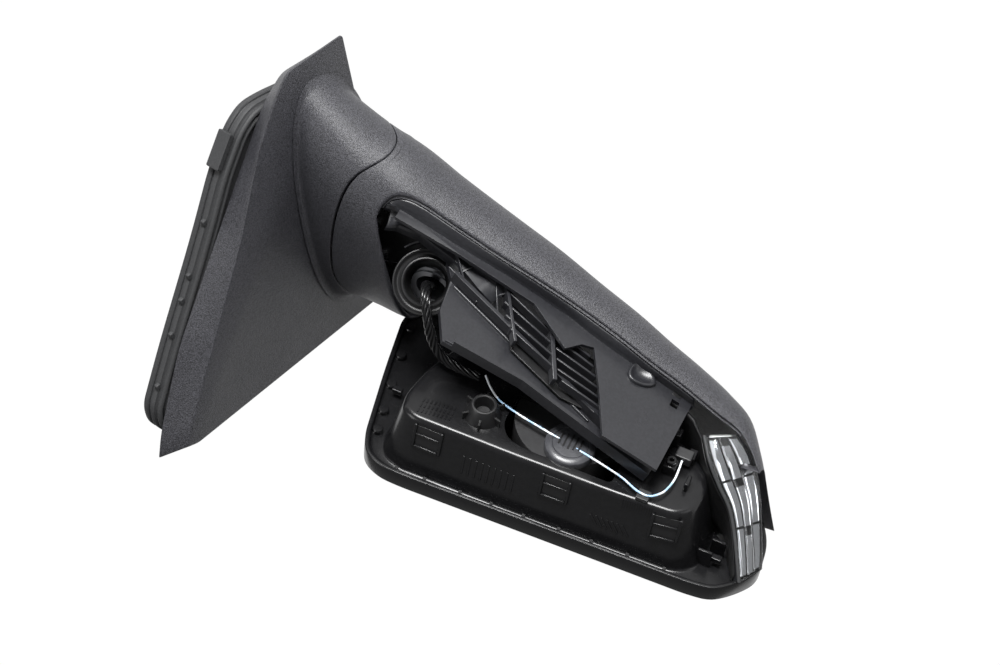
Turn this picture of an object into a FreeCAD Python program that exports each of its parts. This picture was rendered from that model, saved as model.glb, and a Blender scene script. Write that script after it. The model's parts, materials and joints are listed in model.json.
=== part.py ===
"""Right-hand exterior door mirror with a sail base, power-folding head, clear
indicator lamp and electric glass adjustment, shown without its painted cap.

Frame: origin at the centre of the three door studs, on the face that meets the
door.  +X outboard, +Y forward, +Z up.  The door face leans inboard at the top
by TAU.  The head is drawn in design coordinates that sit MOUNT_DEPTH above the
door face; every solid is shifted by that depth when it is written.
"""
import FreeCAD, Part
import math
import os

os.makedirs("parts", exist_ok=True)

# ---------------------------------------------------------------- dimensions
TAU = math.radians(20.0)          # lean of the door face
PSI = math.radians(15.0)          # rearward sweep of the glass opening
MOUNT_DEPTH = 10.0                # door face to design origin, along its normal
SAIL_FACE = 16.0                  # outer face of the sail above design origin
WALL = 2.4                        # moulded wall
STUD_R = 3.0                      # M6 studs
STUD_PCD = 60.0
STUD_LEN = 22.0
FOLD_X, FOLD_Y = 76.0, -14.0      # fold axis (vertical)
FOLD_TUBE_R = 11.0
FOLD_BORE_R = 8.0
GAP = 0.6                         # half of the shut line between neck and head
RIM_F, RIM_R = -30.0, -40.0       # front lip and rear edge of the bezel
BOX_DEPTH = 30.0                  # depth of the glass recess
GLASS_T = 2.0
BALL = (165.0, -27.0, 40.0)       # glass pivot, in head coordinates
ROD_OFF = 16.5                    # adjuster rods from the glass pivot
ACT_R = 26.0                      # adjuster housing
SWEEP = 0.6                       # slope of the swept front, dy/dx

V = FreeCAD.Vector
N = V(math.cos(TAU), 0, math.sin(TAU))
U = V(-math.sin(TAU), 0, math.cos(TAU))
XH = V(math.cos(PSI), -math.sin(PSI), 0)
YH = V(math.sin(PSI), math.cos(PSI), 0)
Z = V(0, 0, 1)
SHIFT = N * MOUNT_DEPTH
NF = V(SWEEP, 1, 0)
NF_LEN = NF.Length
NFU = V(NF).multiply(1.0 / NF_LEN)


def bp(y, u, n):
    """Point on the base: y forward, u up the door face, n out of it."""
    return N * n + U * u + V(0, y, 0)


def hp(x, y, z):
    """Point in head coordinates: x along the opening, y forward of it."""
    return XH * x + YH * y + Z * z


def fp(x, z, c):
    """Point on the swept front plane SWEEP*x + y = c."""
    return V(x, c - SWEEP * x, z)


# ------------------------------------------------------------------- helpers
def wire(pts):
    return Part.makePolygon(list(pts) + [pts[0]])


def prism(pts, vec):
    return Part.Face(wire(pts)).extrude(vec)


def loft(sections):
    s = Part.makeLoft([wire(p) for p in sections], True, True)
    if not s.isValid() or s.Volume < 0:
        s.fix(1e-4, 1e-4, 1e-3)
    return s


def cyl(p, d, r, h):
    return Part.makeCylinder(r, h, p, d)


def ring(p, d, ro, ri, h):
    return cyl(p, d, ro, h).cut(cyl(p - d * 1.0, d, ri, h + 2.0))


def box_at(o, a, b, c, la, lb, lc):
    """Box with corner o and edges along unit vectors a, b, c."""
    f = Part.Face(wire([o, o + a * la, o + a * la + b * lb, o + b * lb]))
    return f.extrude(c * lc)


def inset(poly, d):
    """Inset a closed 2-D polygon by d (counter-clockwise or clockwise)."""
    n = len(poly)
    area = sum(poly[i][0] * poly[(i + 1) % n][1] - poly[(i + 1) % n][0] * poly[i][1] for i in range(n))
    s = 1.0 if area > 0 else -1.0
    out = []
    for i in range(n):
        p0, p1, p2 = poly[i - 1], poly[i], poly[(i + 1) % n]
        e1 = (p1[0] - p0[0], p1[1] - p0[1])
        e2 = (p2[0] - p1[0], p2[1] - p1[1])
        l1, l2 = math.hypot(*e1), math.hypot(*e2)
        n1 = (-e1[1] / l1 * s, e1[0] / l1 * s)
        n2 = (-e2[1] / l2 * s, e2[0] / l2 * s)
        k = 1.0 + n1[0] * n2[0] + n1[1] * n2[1]
        out.append((p1[0] + d * (n1[0] + n2[0]) / k, p1[1] + d * (n1[1] + n2[1]) / k))
    return out


def oval(cy, cz, by, bz, x, k=0.0, n=28, e=2.3):
    pts = []
    for i in range(n):
        a = 2 * math.pi * i / n
        c, s = math.cos(a), math.sin(a)
        y = cy + by * math.copysign(abs(c) ** (2 / e), c)
        pts.append(V(x, y, cz + bz * math.copysign(abs(s) ** (2 / e), s) + k * (y - 20.0)))
    return pts


def cord(points, r, name):
    """Round cord: straight runs joined by tangent arcs as large as they fit."""
    pts = [V(*p) for p in points]
    edges = []
    start = pts[0]
    length = 0.0
    for i in range(1, len(pts) - 1):
        a, b, c = pts[i - 1], pts[i], pts[i + 1]
        d1, d2 = (a - b), (c - b)
        l1, l2 = d1.Length, d2.Length
        d1.normalize()
        d2.normalize()
        turn = math.pi - d1.getAngle(d2)
        t = 0.45 * min(l1, l2)
        rad = t / math.tan(turn / 2)
        print("%s arc %d radius %.1f mm" % (name, i, rad))
        p1, p2 = b + d1 * t, b + d2 * t
        bis = (d1 + d2)
        bis.normalize()
        m = b + bis * (math.hypot(rad, t) - rad)
        if (p1 - start).Length > 1e-4:
            edges.append(Part.LineSegment(start, p1).toShape())
            length += (p1 - start).Length
        edges.append(Part.Arc(p1, m, p2).toShape())
        length += rad * turn
        start = p2
    edges.append(Part.LineSegment(start, pts[-1]).toShape())
    length += (pts[-1] - start).Length
    w = Part.Wire(edges)
    d0 = pts[1] - pts[0]
    prof = Part.Wire([Part.Circle(pts[0], d0, r).toShape()])
    s = w.makePipeShell([prof], True, False)
    print("%s volume %.0f, section x length %.0f" % (name, s.Volume, math.pi * r * r * length))
    return s


PARTS = {}


def put(name, shape):
    s = shape.copy()
    s.translate(SHIFT)
    PARTS[name] = s


def solids(shapes):
    return Part.makeCompound(shapes)


# --------------------------------------------------------- fold-axis helpers
F0 = V(FOLD_X, FOLD_Y, 0)


def fcyl(r, z0, z1):
    return cyl(V(FOLD_X, FOLD_Y, z0), Z, r, z1 - z0)


def fring(ro, ri, z0, z1):
    return fcyl(ro, z0, z1).cut(fcyl(ri, z0 - 1, z1 + 1))


# shut line between neck and head, in plan (x, y), from rear to front
SHUT = [(33.0, -60.0), (30.2, -40.0), (27.0, -32.0), (25.5, -22.0), (25.3, -14.4), (29.0, 3.4), (33.9, 19.6), (41.1, 38.6),
        (47.4, 51.7), (51.1, 57.1), (56.0, 61.0), (64.0, 63.5), (74.0, 65.0), (88.0, 66.5)]


def shut_block(off, outboard):
    """Vertical block on one side of the shut line, moved by off along X."""
    pts = [(x + off, y) for x, y in SHUT]
    if outboard:
        poly = pts + [(400.0, 66.5), (400.0, -200.0), (33.0 + off, -200.0)]
    else:
        poly = pts + [(88.0 + off, 200.0), (-200.0, 200.0), (-200.0, -200.0), (33.0 + off, -200.0)]
    return prism([V(x, y, -120) for x, y in poly], V(0, 0, 260))


# =================================================================== BASE
OUT_LOW = [(88.0, -50.5), (92.5, -18.5), (84.5, -5.0), (67.0, 11.0), (30.0, 44.0), (-10.0, 79.5), (-48.0, 103.0),
           (-61.0, 108.5), (-63.5, 100.0), (-64.0, -47.0)]
OUT_TOP = [(100.0, -49.0), (102.5, -13.5), (92.0, -2.0), (75.0, 12.5), (31.0, 39.0), (-11.0, 69.5), (-47.0, 95.5),
           (-54.4, 98.6), (-57.0, 92.0), (-61.5, -44.8)]
sail_out = loft([[bp(y, u, 3.0) for y, u in OUT_LOW], [bp(y, u, SAIL_FACE) for y, u in OUT_TOP]])
IN_LOW = inset(OUT_LOW, WALL)
IN_TOP = inset(OUT_TOP, WALL)
sail_in = loft([[bp(y, u, 2.0) for y, u in IN_LOW], [bp(y, u, SAIL_FACE - WALL) for y, u in IN_TOP]])

NECK = [(4.0, 24.0, -21.3, 76.0, 24.5, -0.08), (16.0, 22.0, -20.8, 70.0, 25.5, -0.08), (28.0, 21.5, -16.5, 62.5, 26.5, -0.04),
        (45.0, 17.5, -12.0, 57.5, 27.5, -0.01), (60.0, 12.2, -9.5, 53.8, 28.5, 0.0), (78.0, 8.5, -8.0, 51.5, 28.5, 0.0)]
neck_out = loft([oval(cy, cz, by, bz, x, k) for x, cy, cz, by, bz, k in NECK])
neck_in = loft([oval(cy, cz, by - WALL, bz - WALL, x, k) for x, cy, cz, by, bz, k in
                [(0.0, 24.0, -21.3, 76.0, 24.5, -0.08)] + NECK[1:-1] + [(79.0, 8.5, -8.0, 51.5, 28.5, 0.0)]])
outer_side = box_at(bp(-150, -150, 4.0), V(0, 1, 0), U, N, 300, 300, 200)
base_side = shut_block(-GAP, False)
neck_o = neck_out.common(outer_side).common(base_side)
cover = sail_out.fuse(neck_o).cut(sail_in)
neck_i = neck_in.common(box_at(bp(-150, -150, 2.0), V(0, 1, 0), U, N, 300, 300, 200))
cover = cover.cut(neck_i)

# arm of the bracket that carries the fold pivot, through the neck
ARM_W, ARM_Z0, ARM_Z1 = 15.0, -30.0, -21.0
BR = [(69.0, -41.0), (72.0, -14.0), (66.0, 4.0), (24.0, 36.0), (-14.0, 69.0), (-46.0, 89.5), (-54.0, 84.0), (-55.0, -38.0)]
bracket = prism([bp(y, u, -MOUNT_DEPTH) for y, u in BR], N * 6.0)
arm = box_at(V(-3.0, FOLD_Y - ARM_W, ARM_Z0), V(1, 0, 0), V(0, 1, 0), Z, FOLD_X + 3.0, 2 * ARM_W, ARM_Z1 - ARM_Z0)
arm = arm.cut(box_at(bp(-150, -150, -60.0), V(0, 1, 0), U, N, 300, 300, 60.0 - MOUNT_DEPTH))
foot = fcyl(17.5, ARM_Z0, ARM_Z1)
web = prism([V(-1.0, FOLD_Y - 3, ARM_Z1 - 0.5), V(18, FOLD_Y - 3, ARM_Z1 - 0.5), V(-4.0, FOLD_Y - 3, 6.0)], V(0, 6, 0))
bracket = bracket.fuse([arm, foot, web])
bracket = bracket.cut(fcyl(FOLD_BORE_R, ARM_Z0 - 2, ARM_Z1 + 1))
CABLE_Y, CABLE_U = 52.0, -26.0
bracket = bracket.cut(cyl(bp(CABLE_Y, CABLE_U, -12), N, 12.0, 12))
studs = []
for a in (90.0, 210.0, 330.0):
    y = STUD_PCD / 2 * math.cos(math.radians(a))
    u = STUD_PCD / 2 * math.sin(math.radians(a))
    bracket = bracket.cut(cyl(bp(y, u, -12), N, 3.7, 12))
    s = cyl(bp(y, u, -MOUNT_DEPTH - STUD_LEN), N, STUD_R, STUD_LEN + 1.0).fuse(cyl(bp(y, u, -MOUNT_DEPTH), N, 3.7, 6.0))
    head = cyl(bp(y, u, -MOUNT_DEPTH + 6.0), N, 6.0, 2.2)
    studs.append(s.fuse(head))
# clearance for the door studs' heads and the arm inside the cover
cover = cover.cut(box_at(V(-4.0, FOLD_Y - ARM_W - 1.0, ARM_Z0 - 1.0), V(1, 0, 0), V(0, 1, 0), Z, 90.0, 2 * ARM_W + 2.0,
                         ARM_Z1 - ARM_Z0 + 2.0))
put("mounting_studs", solids(studs))

# screws that clamp the cover to the bracket, in bosses of the cover
bosses, screws = [], []
for y, u in ((60.0, -2.0), (-42.0, 78.0), (-48.0, -32.0)):
    boss = ring(bp(y, u, -3.9), N, 4.5, 1.6, SAIL_FACE - WALL + 4.4)
    bosses.append(boss)
    bracket = bracket.cut(cyl(bp(y, u, -12), N, 2.2, 12))
    scr = cyl(bp(y, u, -9.0), N, 1.6, 16.0).fuse(cyl(bp(y, u, -10.0), N, 4.0, 1.0 + 2.0))
    bracket = bracket.cut(cyl(bp(y, u, -10.5), N, 4.0, 3.5))
    screws.append(scr)
cover = cover.fuse(bosses)
for y, u in ((60.0, -2.0), (-42.0, 78.0), (-48.0, -32.0)):
    cover = cover.cut(cyl(bp(y, u, -9.0), N, 1.6, 16.0))
put("base_bracket", bracket)
put("base_cover", cover)
put("base_screws", solids(screws))

G_OUT = [(74.0, -48.0), (76.5, -24.0), (80.0, -12.0), (82.0, 0.5), (76.5, 11.5), (60.5, 26.5), (32.0, 47.0), (-12.0, 81.5),
         (-38.0, 100.5), (-50.0, 101.0), (-60.0, 94.0), (-61.5, -45.0)]
G_IN = inset(BR, -1.2)
gasket = prism([bp(y, u, -9.6) for y, u in G_OUT], N * 12.4).cut(prism([bp(y, u, -11) for y, u in G_IN], N * 16))
put("base_gasket", gasket)

# moulded locating tab on the outer edge of the seal
tab = box_at(bp(0, 0, 0), V(0, 1, 0), U, N, 1, 1, 1)
ty0, tu0, ty1, tu1 = 61.5, 25.6, 75.0, 12.9
d = V(0, 0, 0) + bp(ty1, tu1, 0) - bp(ty0, tu0, 0)
dl = d.Length
d.normalize()
nrm = N.cross(d)
if nrm.dot(U) < 0:
    nrm = nrm * -1.0
tab = box_at(bp(ty0, tu0, -9.0) - nrm * 0.2, d, nrm, N, dl, 3.0, 8.0)
tab = tab.cut(gasket)
put("gasket_clip", tab)

grommet = ring(bp(CABLE_Y, CABLE_U, -MOUNT_DEPTH), N, 12.0, 8.0, 6.0).fuse(
    ring(bp(CABLE_Y, CABLE_U, -MOUNT_DEPTH + 6.0), N, 14.0, 8.0, 2.0))
put("cable_grommet", grommet)

# fold pivot: hollow tube, fixed detent ring, spring, washer, clip
tube = fring(FOLD_TUBE_R, FOLD_BORE_R, ARM_Z1, 3.2).cut(fring(FOLD_TUBE_R + 1, FOLD_TUBE_R - 1.0, 1.4, 2.6))
put("pivot_tube", tube)


def detent(z0, z1, up, n=4):
    """Detent ring with n ramped humps on its meeting face."""
    s = fring(16.0, FOLD_TUBE_R + (0.0 if not up else 0.0), z0, z1)
    return s


det_f = fring(16.0, FOLD_TUBE_R, ARM_Z1, -17.0)
notches = []
for k in range(3):
    a = math.radians(90 + 120 * k)
    c = V(FOLD_X + 13.6 * math.cos(a), FOLD_Y + 13.6 * math.sin(a), -18.2)
    notches.append(cyl(c, Z, 1.8, 3))
det_f = det_f.cut(solids(notches))
put("detent_ring_fixed", det_f)
det_m = fring(16.0, FOLD_TUBE_R + 0.05, -16.6, -13.0)
put("detent_ring_moving", det_m)

hubz0, hubz1 = -13.0, -8.0
turns = []
spring = None
zs = [-7.6, -5.7, -3.8, -1.9]
sp_w = [Part.makeTorus(13.0, 0.85, V(FOLD_X, FOLD_Y, -6.8 + 1.85 * i), Z) for i in range(4)]
joints_ = [cyl(V(FOLD_X + 13.0, FOLD_Y, -6.8 + 1.85 * i), Z, 0.7, 1.85) for i in range(3)]
spring = sp_w[0].fuse(sp_w[1:] + joints_)
put("fold_spring", spring)
put("spring_washer", fring(15.0, FOLD_TUBE_R, -0.35, 1.4))
circ = fring(13.6, FOLD_TUBE_R - 1.0, 1.4, 2.6).cut(
    box_at(V(FOLD_X - 16, FOLD_Y - 2.5, 1.0), V(1, 0, 0), V(0, 1, 0), Z, 12, 5, 3))
put("pivot_circlip", circ)

# =================================================================== HEAD
# front lower silhouette of the head on the swept plane: x, y, z, corner radius
SIL = [(66.0, 54.0, -25.3, 24.0), (84.3, 43.0, -23.3, 24.0), (99.4, 34.0, -20.8, 23.0), (119.3, 22.0, -17.8, 22.0),
       (139.2, 10.1, -14.8, 21.0), (159.6, -2.2, -10.3, 19.5), (179.8, -14.3, -6.2, 18.5), (195.0, -23.5, -2.0, 17.5),
       (210.8, -32.9, 1.8, 16.0), (226.5, -42.3, 6.8, 13.5), (238.1, -49.3, 13.3, 10.0)]


def yb(x, yh=RIM_R + 2.0):
    return (yh - math.sin(PSI) * x) / math.cos(PSI)


def cover_profile(x, ys, zs, r, d=0.0):
    """Outer profile of the lower cover at x, from the cap edge to the bezel."""
    cy, cz = ys - 0.643 * r, zs + 0.766 * r
    pts = []
    for a in (32.0, 10.0, -12.0, -31.0, -50.0, -70.0, -90.0):
        t = math.radians(a)
        pts.append((cy + (r - d) * math.cos(t), cz + (r - d) * math.sin(t)))
    zb = cz - (r - d)
    y0, y1 = cy, yb(x)
    for k in (0.33, 0.66, 1.0):
        pts.append((y0 + (y1 - y0) * k, zb - 1.5 * k * k))
    return pts


def c_section(x, ys, zs, r):
    o = cover_profile(x, ys, zs, r)
    i = cover_profile(x, ys, zs, r, WALL)
    return [V(x, y, z) for y, z in o] + [V(x, y, z) for y, z in reversed(i)]


secs = [c_section(*s) for s in SIL]
# outboard end: the wall turns up behind the lamp
END = [(246.0, -55.5, 24.7, 7.0), (252.0, -60.5, 35.0, 6.0)]
for s in END:
    secs.append(c_section(*s))
shell = loft(secs)
drum_o = neck_out.common(shut_block(GAP, True)).common(box_at(V(0, -200, -100), V(1, 0, 0), V(0, 1, 0), Z, 68.0, 400, 300))
drum_i = neck_in.common(box_at(V(0, -200, -100), V(1, 0, 0), V(0, 1, 0), Z, 68.5, 400, 300))
drum = drum_o.cut(drum_i)
# window in the front upper wall, under the cap
win = prism([V(58.0, 20.0, 6.0), V(58.0, 48.0, 6.0), V(90.0, 60.0, 6.0), V(90.0, -40.0, 6.0), V(60.0, -30.0, 6.0)],
            V(0, 0, 60))
drum = drum.cut(win)
lower = shell.fuse(drum)
# way for the bracket's arm and foot as the head folds
pie = [V(FOLD_X, FOLD_Y, -60)] + [V(FOLD_X + 90 * math.cos(math.radians(a)), FOLD_Y + 90 * math.sin(math.radians(a)), -60)
                                  for a in (180, 196, 212, 228, 243)]
way = prism(pie, V(0, 0, 60 + ARM_Z1 + 1.0))
for a in (180.0, 243.0):
    t = math.radians(a)
    dx, dy = V(math.cos(t), math.sin(t), 0), V(-math.sin(t), math.cos(t), 0)
    way = way.fuse(box_at(F0 + V(0, 0, -60) - dy * (ARM_W + 1.0), dx, dy, Z, 90.0, 2 * ARM_W + 2.0, 60 + ARM_Z1 + 1.0))
way = way.fuse(fcyl(19.0, -60.0, ARM_Z1 + 1.0))
lower = lower.cut(way)
# the cover stays clear of the sail's leaning face
lower = lower.cut(box_at(bp(-150, -150, -60.0), V(0, 1, 0), U, N, 300, 300, 60.0 + SAIL_FACE + 1.5))

# ---- bezel tray: rim, flange and glass recess (head coordinates, x then z)
RIM = [(62.5, 0.0), (67.5, 31.0), (75.0, 70.0), (79.5, 80.0), (89.0, 84.5), (100.0, 85.0), (150.0, 83.5), (200.0, 82.0),
       (244.0, 80.8), (256.0, 79.2), (265.0, 71.0), (272.0, 61.0), (270.5, 44.0), (263.0, 30.0), (248.0, 20.5),
       (225.0, 10.5), (194.0, 0.5), (152.0, -8.5), (112.0, -14.5), (84.0, -16.0), (70.0, -13.5), (64.0, -8.0)]
BOX_F = [(83.5, 66.0), (87.0, 76.5), (96.0, 80.0), (150.0, 79.0), (200.0, 77.5), (236.0, 76.5), (245.0, 70.0),
         (246.5, 52.0), (243.0, 38.0), (230.0, 26.0), (200.0, 12.0), (156.0, 1.0), (126.0, -4.0), (108.0, 0.0),
         (94.0, 16.0), (86.0, 40.0)]
BOX_T = [(90.5, 60.0), (92.5, 69.5), (99.0, 72.8), (150.0, 72.3), (200.0, 71.0), (229.0, 69.0), (236.0, 62.5),
         (237.0, 51.0), (234.0, 41.0), (223.0, 32.0), (196.0, 19.0), (156.0, 8.5), (130.0, 4.0), (114.0, 8.0),
         (102.0, 22.0), (94.0, 42.0)]


def hpoly(poly, y):
    return [hp(x, y, z) for x, z in poly]


rim = prism(hpoly(RIM, RIM_R), YH * (RIM_F - RIM_R)).cut(prism(hpoly(inset(RIM, WALL), RIM_R - 1), YH * (RIM_F - RIM_R + 2)))
flange = prism(hpoly(inset(RIM, WALL - 0.6), -35.5), YH * 2.5).cut(prism(hpoly(inset(BOX_F, WALL), -37), YH * 6))
recess = loft([hpoly(BOX_F, -35.5), hpoly(BOX_T, 0.0)]).cut(loft([hpoly(inset(BOX_F, WALL), -36.5), hpoly(inset(BOX_T, WALL), -2.2)]))
tray = rim.fuse([flange, recess])
# arched hole over the adjuster motors
hole = prism(hpoly([(118.0, 38.0), (118.0, 58.0), (124.0, 64.0), (134.0, 66.0), (196.0, 66.0), (196.0, 38.0)], -6.0), YH * 8)
tray = tray.cut(hole)
put("bezel_tray", tray)

# bottom wall of the cover rests on the rim: trim the cover where the tray is
tray_env = prism(hpoly(inset(RIM, -0.05), RIM_R - 20), YH * 60)
lower = lower.cut(tray_env)
keep = max(lower.Solids, key=lambda s: s.Volume)
small = [s for s in lower.Solids if s is not keep and s.Volume > 400]
put("lower_cover", keep)

# ---- inner panel: ledge along the opening, flap and outer plate
C_P = 89.0                                    # plane of the panel
T_P = 2.0
ledge = [(74.0, 9.5), (104.0, 10.0), (139.0, 12.0), (170.0, 14.5), (196.0, 17.0), (213.0, 19.0), (213.0, 25.0),
         (196.0, 24.0), (168.0, 21.0), (163.0, 23.0), (158.0, 30.0), (139.0, 17.0), (104.0, 15.0), (74.0, 15.5)]
panel = prism([fp(x, z, C_P) for x, z in ledge], NFU * -T_P)
plate = prism([fp(x, z, C_P) for x, z in [(166.5, 18.0), (213.0, 20.0), (212.0, 62.5), (187.0, 61.5), (176.5, 38.0)]],
              NFU * -T_P)
panel = panel.fuse(plate)
panel = panel.cut(box_at(fp(205.0, 23.0, C_P) + NFU * 1.0, V(1, -SWEEP, 0).normalize(), Z, NFU * -1.0, 4.0, 4.0, 4.0))
panel = panel.cut(PARTS["lower_cover"].translated(SHIFT * -1.0)) if hasattr(Part.Shape, "translated") else panel
put("inner_panel", panel)

# ---- route of the harness: up the pivot tube, out of the funnel, over its lip
h_pts = [(FOLD_X, FOLD_Y, -19.0), (FOLD_X, FOLD_Y, 0.5), (79.8, -4.5, 10.8), (87.5, 12.5, 25.0), (92.0, 14.0, 34.0),
         (93.5, 3.0, 39.0), (93.5, -9.0, 39.5), (96.5, -18.0, 40.0), (105.0, -23.5, 40.3), (115.5, -27.2, 40.0)]

# ---- carrier: hub on the pivot tube, wall and arm, ribs
C_C = 73.0                                    # front plane of the carrier
hub = fring(17.0, FOLD_TUBE_R + 0.05, hubz0, hubz1)
arm_poly = [(98.6, 18.5), (124.6, 27.5), (151.6, 37.4), (179.5, 47.5), (205.0, 50.6), (204.0, 59.9), (158.7, 53.4),
            (143.0, 51.0), (124.8, 51.6), (108.0, 52.4), (101.0, 38.0)]
arm_c = prism([fp(x, z, C_C) for x, z in arm_poly], NFU * -3.0)
rib1 = prism([fp(x, z, C_C) for x, z in [(98.6, 18.5), (179.5, 47.5), (179.5, 49.5), (98.6, 20.5)]], NFU * 7.0)
rib2 = prism([fp(x, z, C_C) for x, z in [(112.0, 50.2), (143.0, 49.0), (158.7, 51.4), (204.0, 57.9), (204.0, 59.9),
                                         (158.7, 53.4), (143.0, 51.0), (112.0, 52.2)]], NFU * 4.0)
wall = prism([V(80.0, -8.0, hubz0), V(92.0, -8.0, hubz0), V(98.0, 6.5, hubz0), V(94.0, 9.0, hubz0)], V(0, 0, 24.0))
link = prism([fp(x, z, C_C) for x, z in [(85.0, -8.0), (98.0, -8.0), (108.0, 16.0), (108.0, 34.0), (94.0, 12.0)]],
             NFU * -3.0)
carrier = hub.fuse([wall, link, arm_c, rib1, rib2])
# rear wall, joined to the recess by its screws
post1 = cyl(hp(124.0, 0.0, 24.0), YH, 4.0, 12.0)
post2 = cyl(hp(202.0, 0.0, 50.0), YH, 3.0, 4.0)
carrier = carrier.fuse([post1, post2])

# ---- cable funnel on the carrier, from the tube up to its flared mouth
MOUTH = V(85.6, 10.0, 20.8)
FA = V(0.33, 0.74, 0.585)
FA.normalize()
fun_o = Part.makeCone(12.5, 16.0, 16.0, MOUTH - FA * 16.0, FA)
fun_i = Part.makeCone(8.2, 9.6, 18.0, MOUTH - FA * 17.0, FA)
funnel = fun_o.cut(fun_i)
funnel = funnel.cut(fcyl(18.0, -40.0, 5.0))
carrier = carrier.cut(Part.makeCone(12.7, 16.2, 16.4, MOUTH - FA * 16.2, FA))
carrier = carrier.cut(fcyl(16.6, hubz1, 5.0))
put("cable_funnel", funnel)

# ---- louvre grille behind the opening
bars = []
C_S = 84.0
for k in range(6):
    z = 16.5 + 4.0 * k
    x0 = 124.0 + 5.0 * k
    x1 = 173.0 + 2.0 * k
    bars.append(prism([fp(x0, z, C_S), fp(x1, z + 1.0, C_S), fp(x1, z + 2.4, C_S), fp(x0, z + 1.4, C_S)], NFU * -6.0))
post = prism([fp(150.0, 15.0, C_S), fp(153.0, 15.0, C_S), fp(153.0, 39.5, C_S), fp(150.0, 39.5, C_S)], NFU * -6.0)
back = prism([fp(122.0, 14.5, C_S - 7.0), fp(176.0, 15.5, C_S - 7.0), fp(186.0, 42.0, C_S - 7.0), fp(150.0, 41.0, C_S - 7.0)],
             NFU * -1.5)
grille = bars[0].fuse(bars[1:] + [post, back])
grille = grille.cut(carrier)
grille = max(grille.Solids, key=lambda s: s.Volume)
put("louvre_panel", grille)

# ---- fold drive: gearbox and motor beside the pivot, in front of the recess
gear_box = box_at(V(50.0, -2.0, -16.0), V(1, 0, 0), V(0, 1, 0), Z, 34.0, 30.0, 18.0)
gear_box = gear_box.cut(fcyl(18.5, -30, 30))
gear_box = gear_box.cut(Part.makeCone(13.2, 16.8, 16.6, MOUTH - FA * 16.4, FA))
gear_box = max(gear_box.Solids, key=lambda s: s.Volume)
put("fold_gearbox", gear_box)
motor = cyl(V(67.0, 28.2, -7.0), V(0, 1, 0), 8.0, 20.0).fuse(cyl(V(67.0, 48.2, -7.0), V(0, 1, 0), 3.0, 2.0))
put("fold_motor", motor)
put("gearbox_screws", solids([cyl(V(x, y, 2.05), Z, 2.4, 1.6) for x, y in ((54.0, 24.0), (80.0, 24.0), (54.0, 3.0))]))
carrier = carrier.cut(box_at(V(49.5, -2.5, -16.5), V(1, 0, 0), V(0, 1, 0), Z, 35.0, 31.0, 21.0).cut(fcyl(18.0, -30, 30)))
carrier = carrier.fuse(hub)
carrier = carrier.cut(fcyl(FOLD_TUBE_R + 0.05, -40.0, 5.0))
carrier = carrier.cut(cord(h_pts, 4.2, "harness clearance"))
carrier = max(carrier.Solids, key=lambda s: s.Volume)
put("carrier", carrier)

# ---- indicator lamp: housing, reflector, board, lens, screws, connector
# centre line of the lamp from the front end to the rear end: outer face points
LO = [(236.5, -48.0, 24.0), (243.5, -54.0, 27.5), (248.5, -61.0, 34.0), (252.0, -68.0, 41.5), (254.5, -77.0, 49.0),
      (256.5, -87.0, 55.5), (257.5, -95.5, 61.0)]
LI = [(222.5, -45.5, 31.0), (228.0, -52.0, 40.0), (233.5, -61.0, 45.5), (239.5, -69.5, 50.5), (243.5, -78.0, 57.0),
      (247.5, -88.0, 66.0), (250.0, -95.0, 72.0)]


def lamp_strip(t0, t1, k0, k1):
    """Strip between the inner and outer lines, t0..t1 deep behind the face."""
    sec = []
    for i in range(len(LO)):
        o, n_ = V(*LO[i]), V(*LI[i])
        j0, j1 = max(i - 1, 0), min(i + 1, len(LO) - 1)
        tan = (V(*LO[j1]) + V(*LI[j1])) - (V(*LO[j0]) + V(*LI[j0]))
        w = o - n_
        nrm_ = tan.cross(w)
        nrm_.normalize()
        if nrm_.dot(V(0.6, 0.5, 0.6)) < 0:
            nrm_ = nrm_ * -1.0
        a = n_ + w * k0
        b = n_ + w * k1
        sec.append([a - nrm_ * t0, b - nrm_ * t0, b - nrm_ * t1, a - nrm_ * t1])
    return loft(sec)


put("lamp_lens", lamp_strip(0.0, 2.2, 0.0, 1.0))
put("lamp_reflector", lamp_strip(2.6, 4.2, 0.10, 0.90))
put("lamp_led_board", lamp_strip(4.6, 6.0, 0.20, 0.80))
lamp_h = lamp_strip(2.2, 9.0, 0.0, 1.0).cut(lamp_strip(2.1, 6.4, 0.08, 0.92))
put("lamp_housing", lamp_h)
conn = box_at(hp(217.5, 2.4, 37.0), XH, YH, Z, 8.0, 5.0, 6.0)
put("lamp_connector", conn)

# ---- actuator in the recess: housing, motors, cover, ball stud, screws
BX, BY, BZ = BALL
A_BACK, A_FRONT = -2.4, -20.0
hous = cyl(hp(BX, A_FRONT, BZ), YH, ACT_R, A_BACK - A_FRONT)
pocket = cyl(hp(BX, A_FRONT - 1, BZ), YH, ACT_R - 2.2, A_BACK - A_FRONT - 0.5)
hous_shell = hous.cut(pocket)
ROD_V = (BX, BZ - ROD_OFF)
ROD_H = (BX - ROD_OFF, BZ)
lid = cyl(hp(BX, A_FRONT - 2.0, BZ), YH, ACT_R, 2.0)
for rx, rz in (ROD_V, ROD_H):
    lid = lid.cut(cyl(hp(rx, A_FRONT - 3, rz), YH, 3.6, 6))
stem = cyl(hp(BX, A_FRONT - 5.0, BZ), YH, 3.5, 5.0)
ball = Part.makeSphere(4.0, hp(BX, BY, BZ))
lid = lid.cut(cyl(hp(BX, A_FRONT - 3.0, BZ), YH, 3.5, 6.0))
put("actuator_housing", hous_shell)
put("actuator_cover", lid)
stud = cyl(hp(BX, BY + 2.0, BZ), YH, 3.0, A_FRONT - BY - 2.0 + 8.0).fuse(
    [ball, cyl(hp(BX, A_FRONT - 2.0, BZ), YH, 3.5, 8.0), cyl(hp(BX, BY, BZ - 6.2), Z, 1.2, 12.4)])
put("ball_stud", stud)
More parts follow.
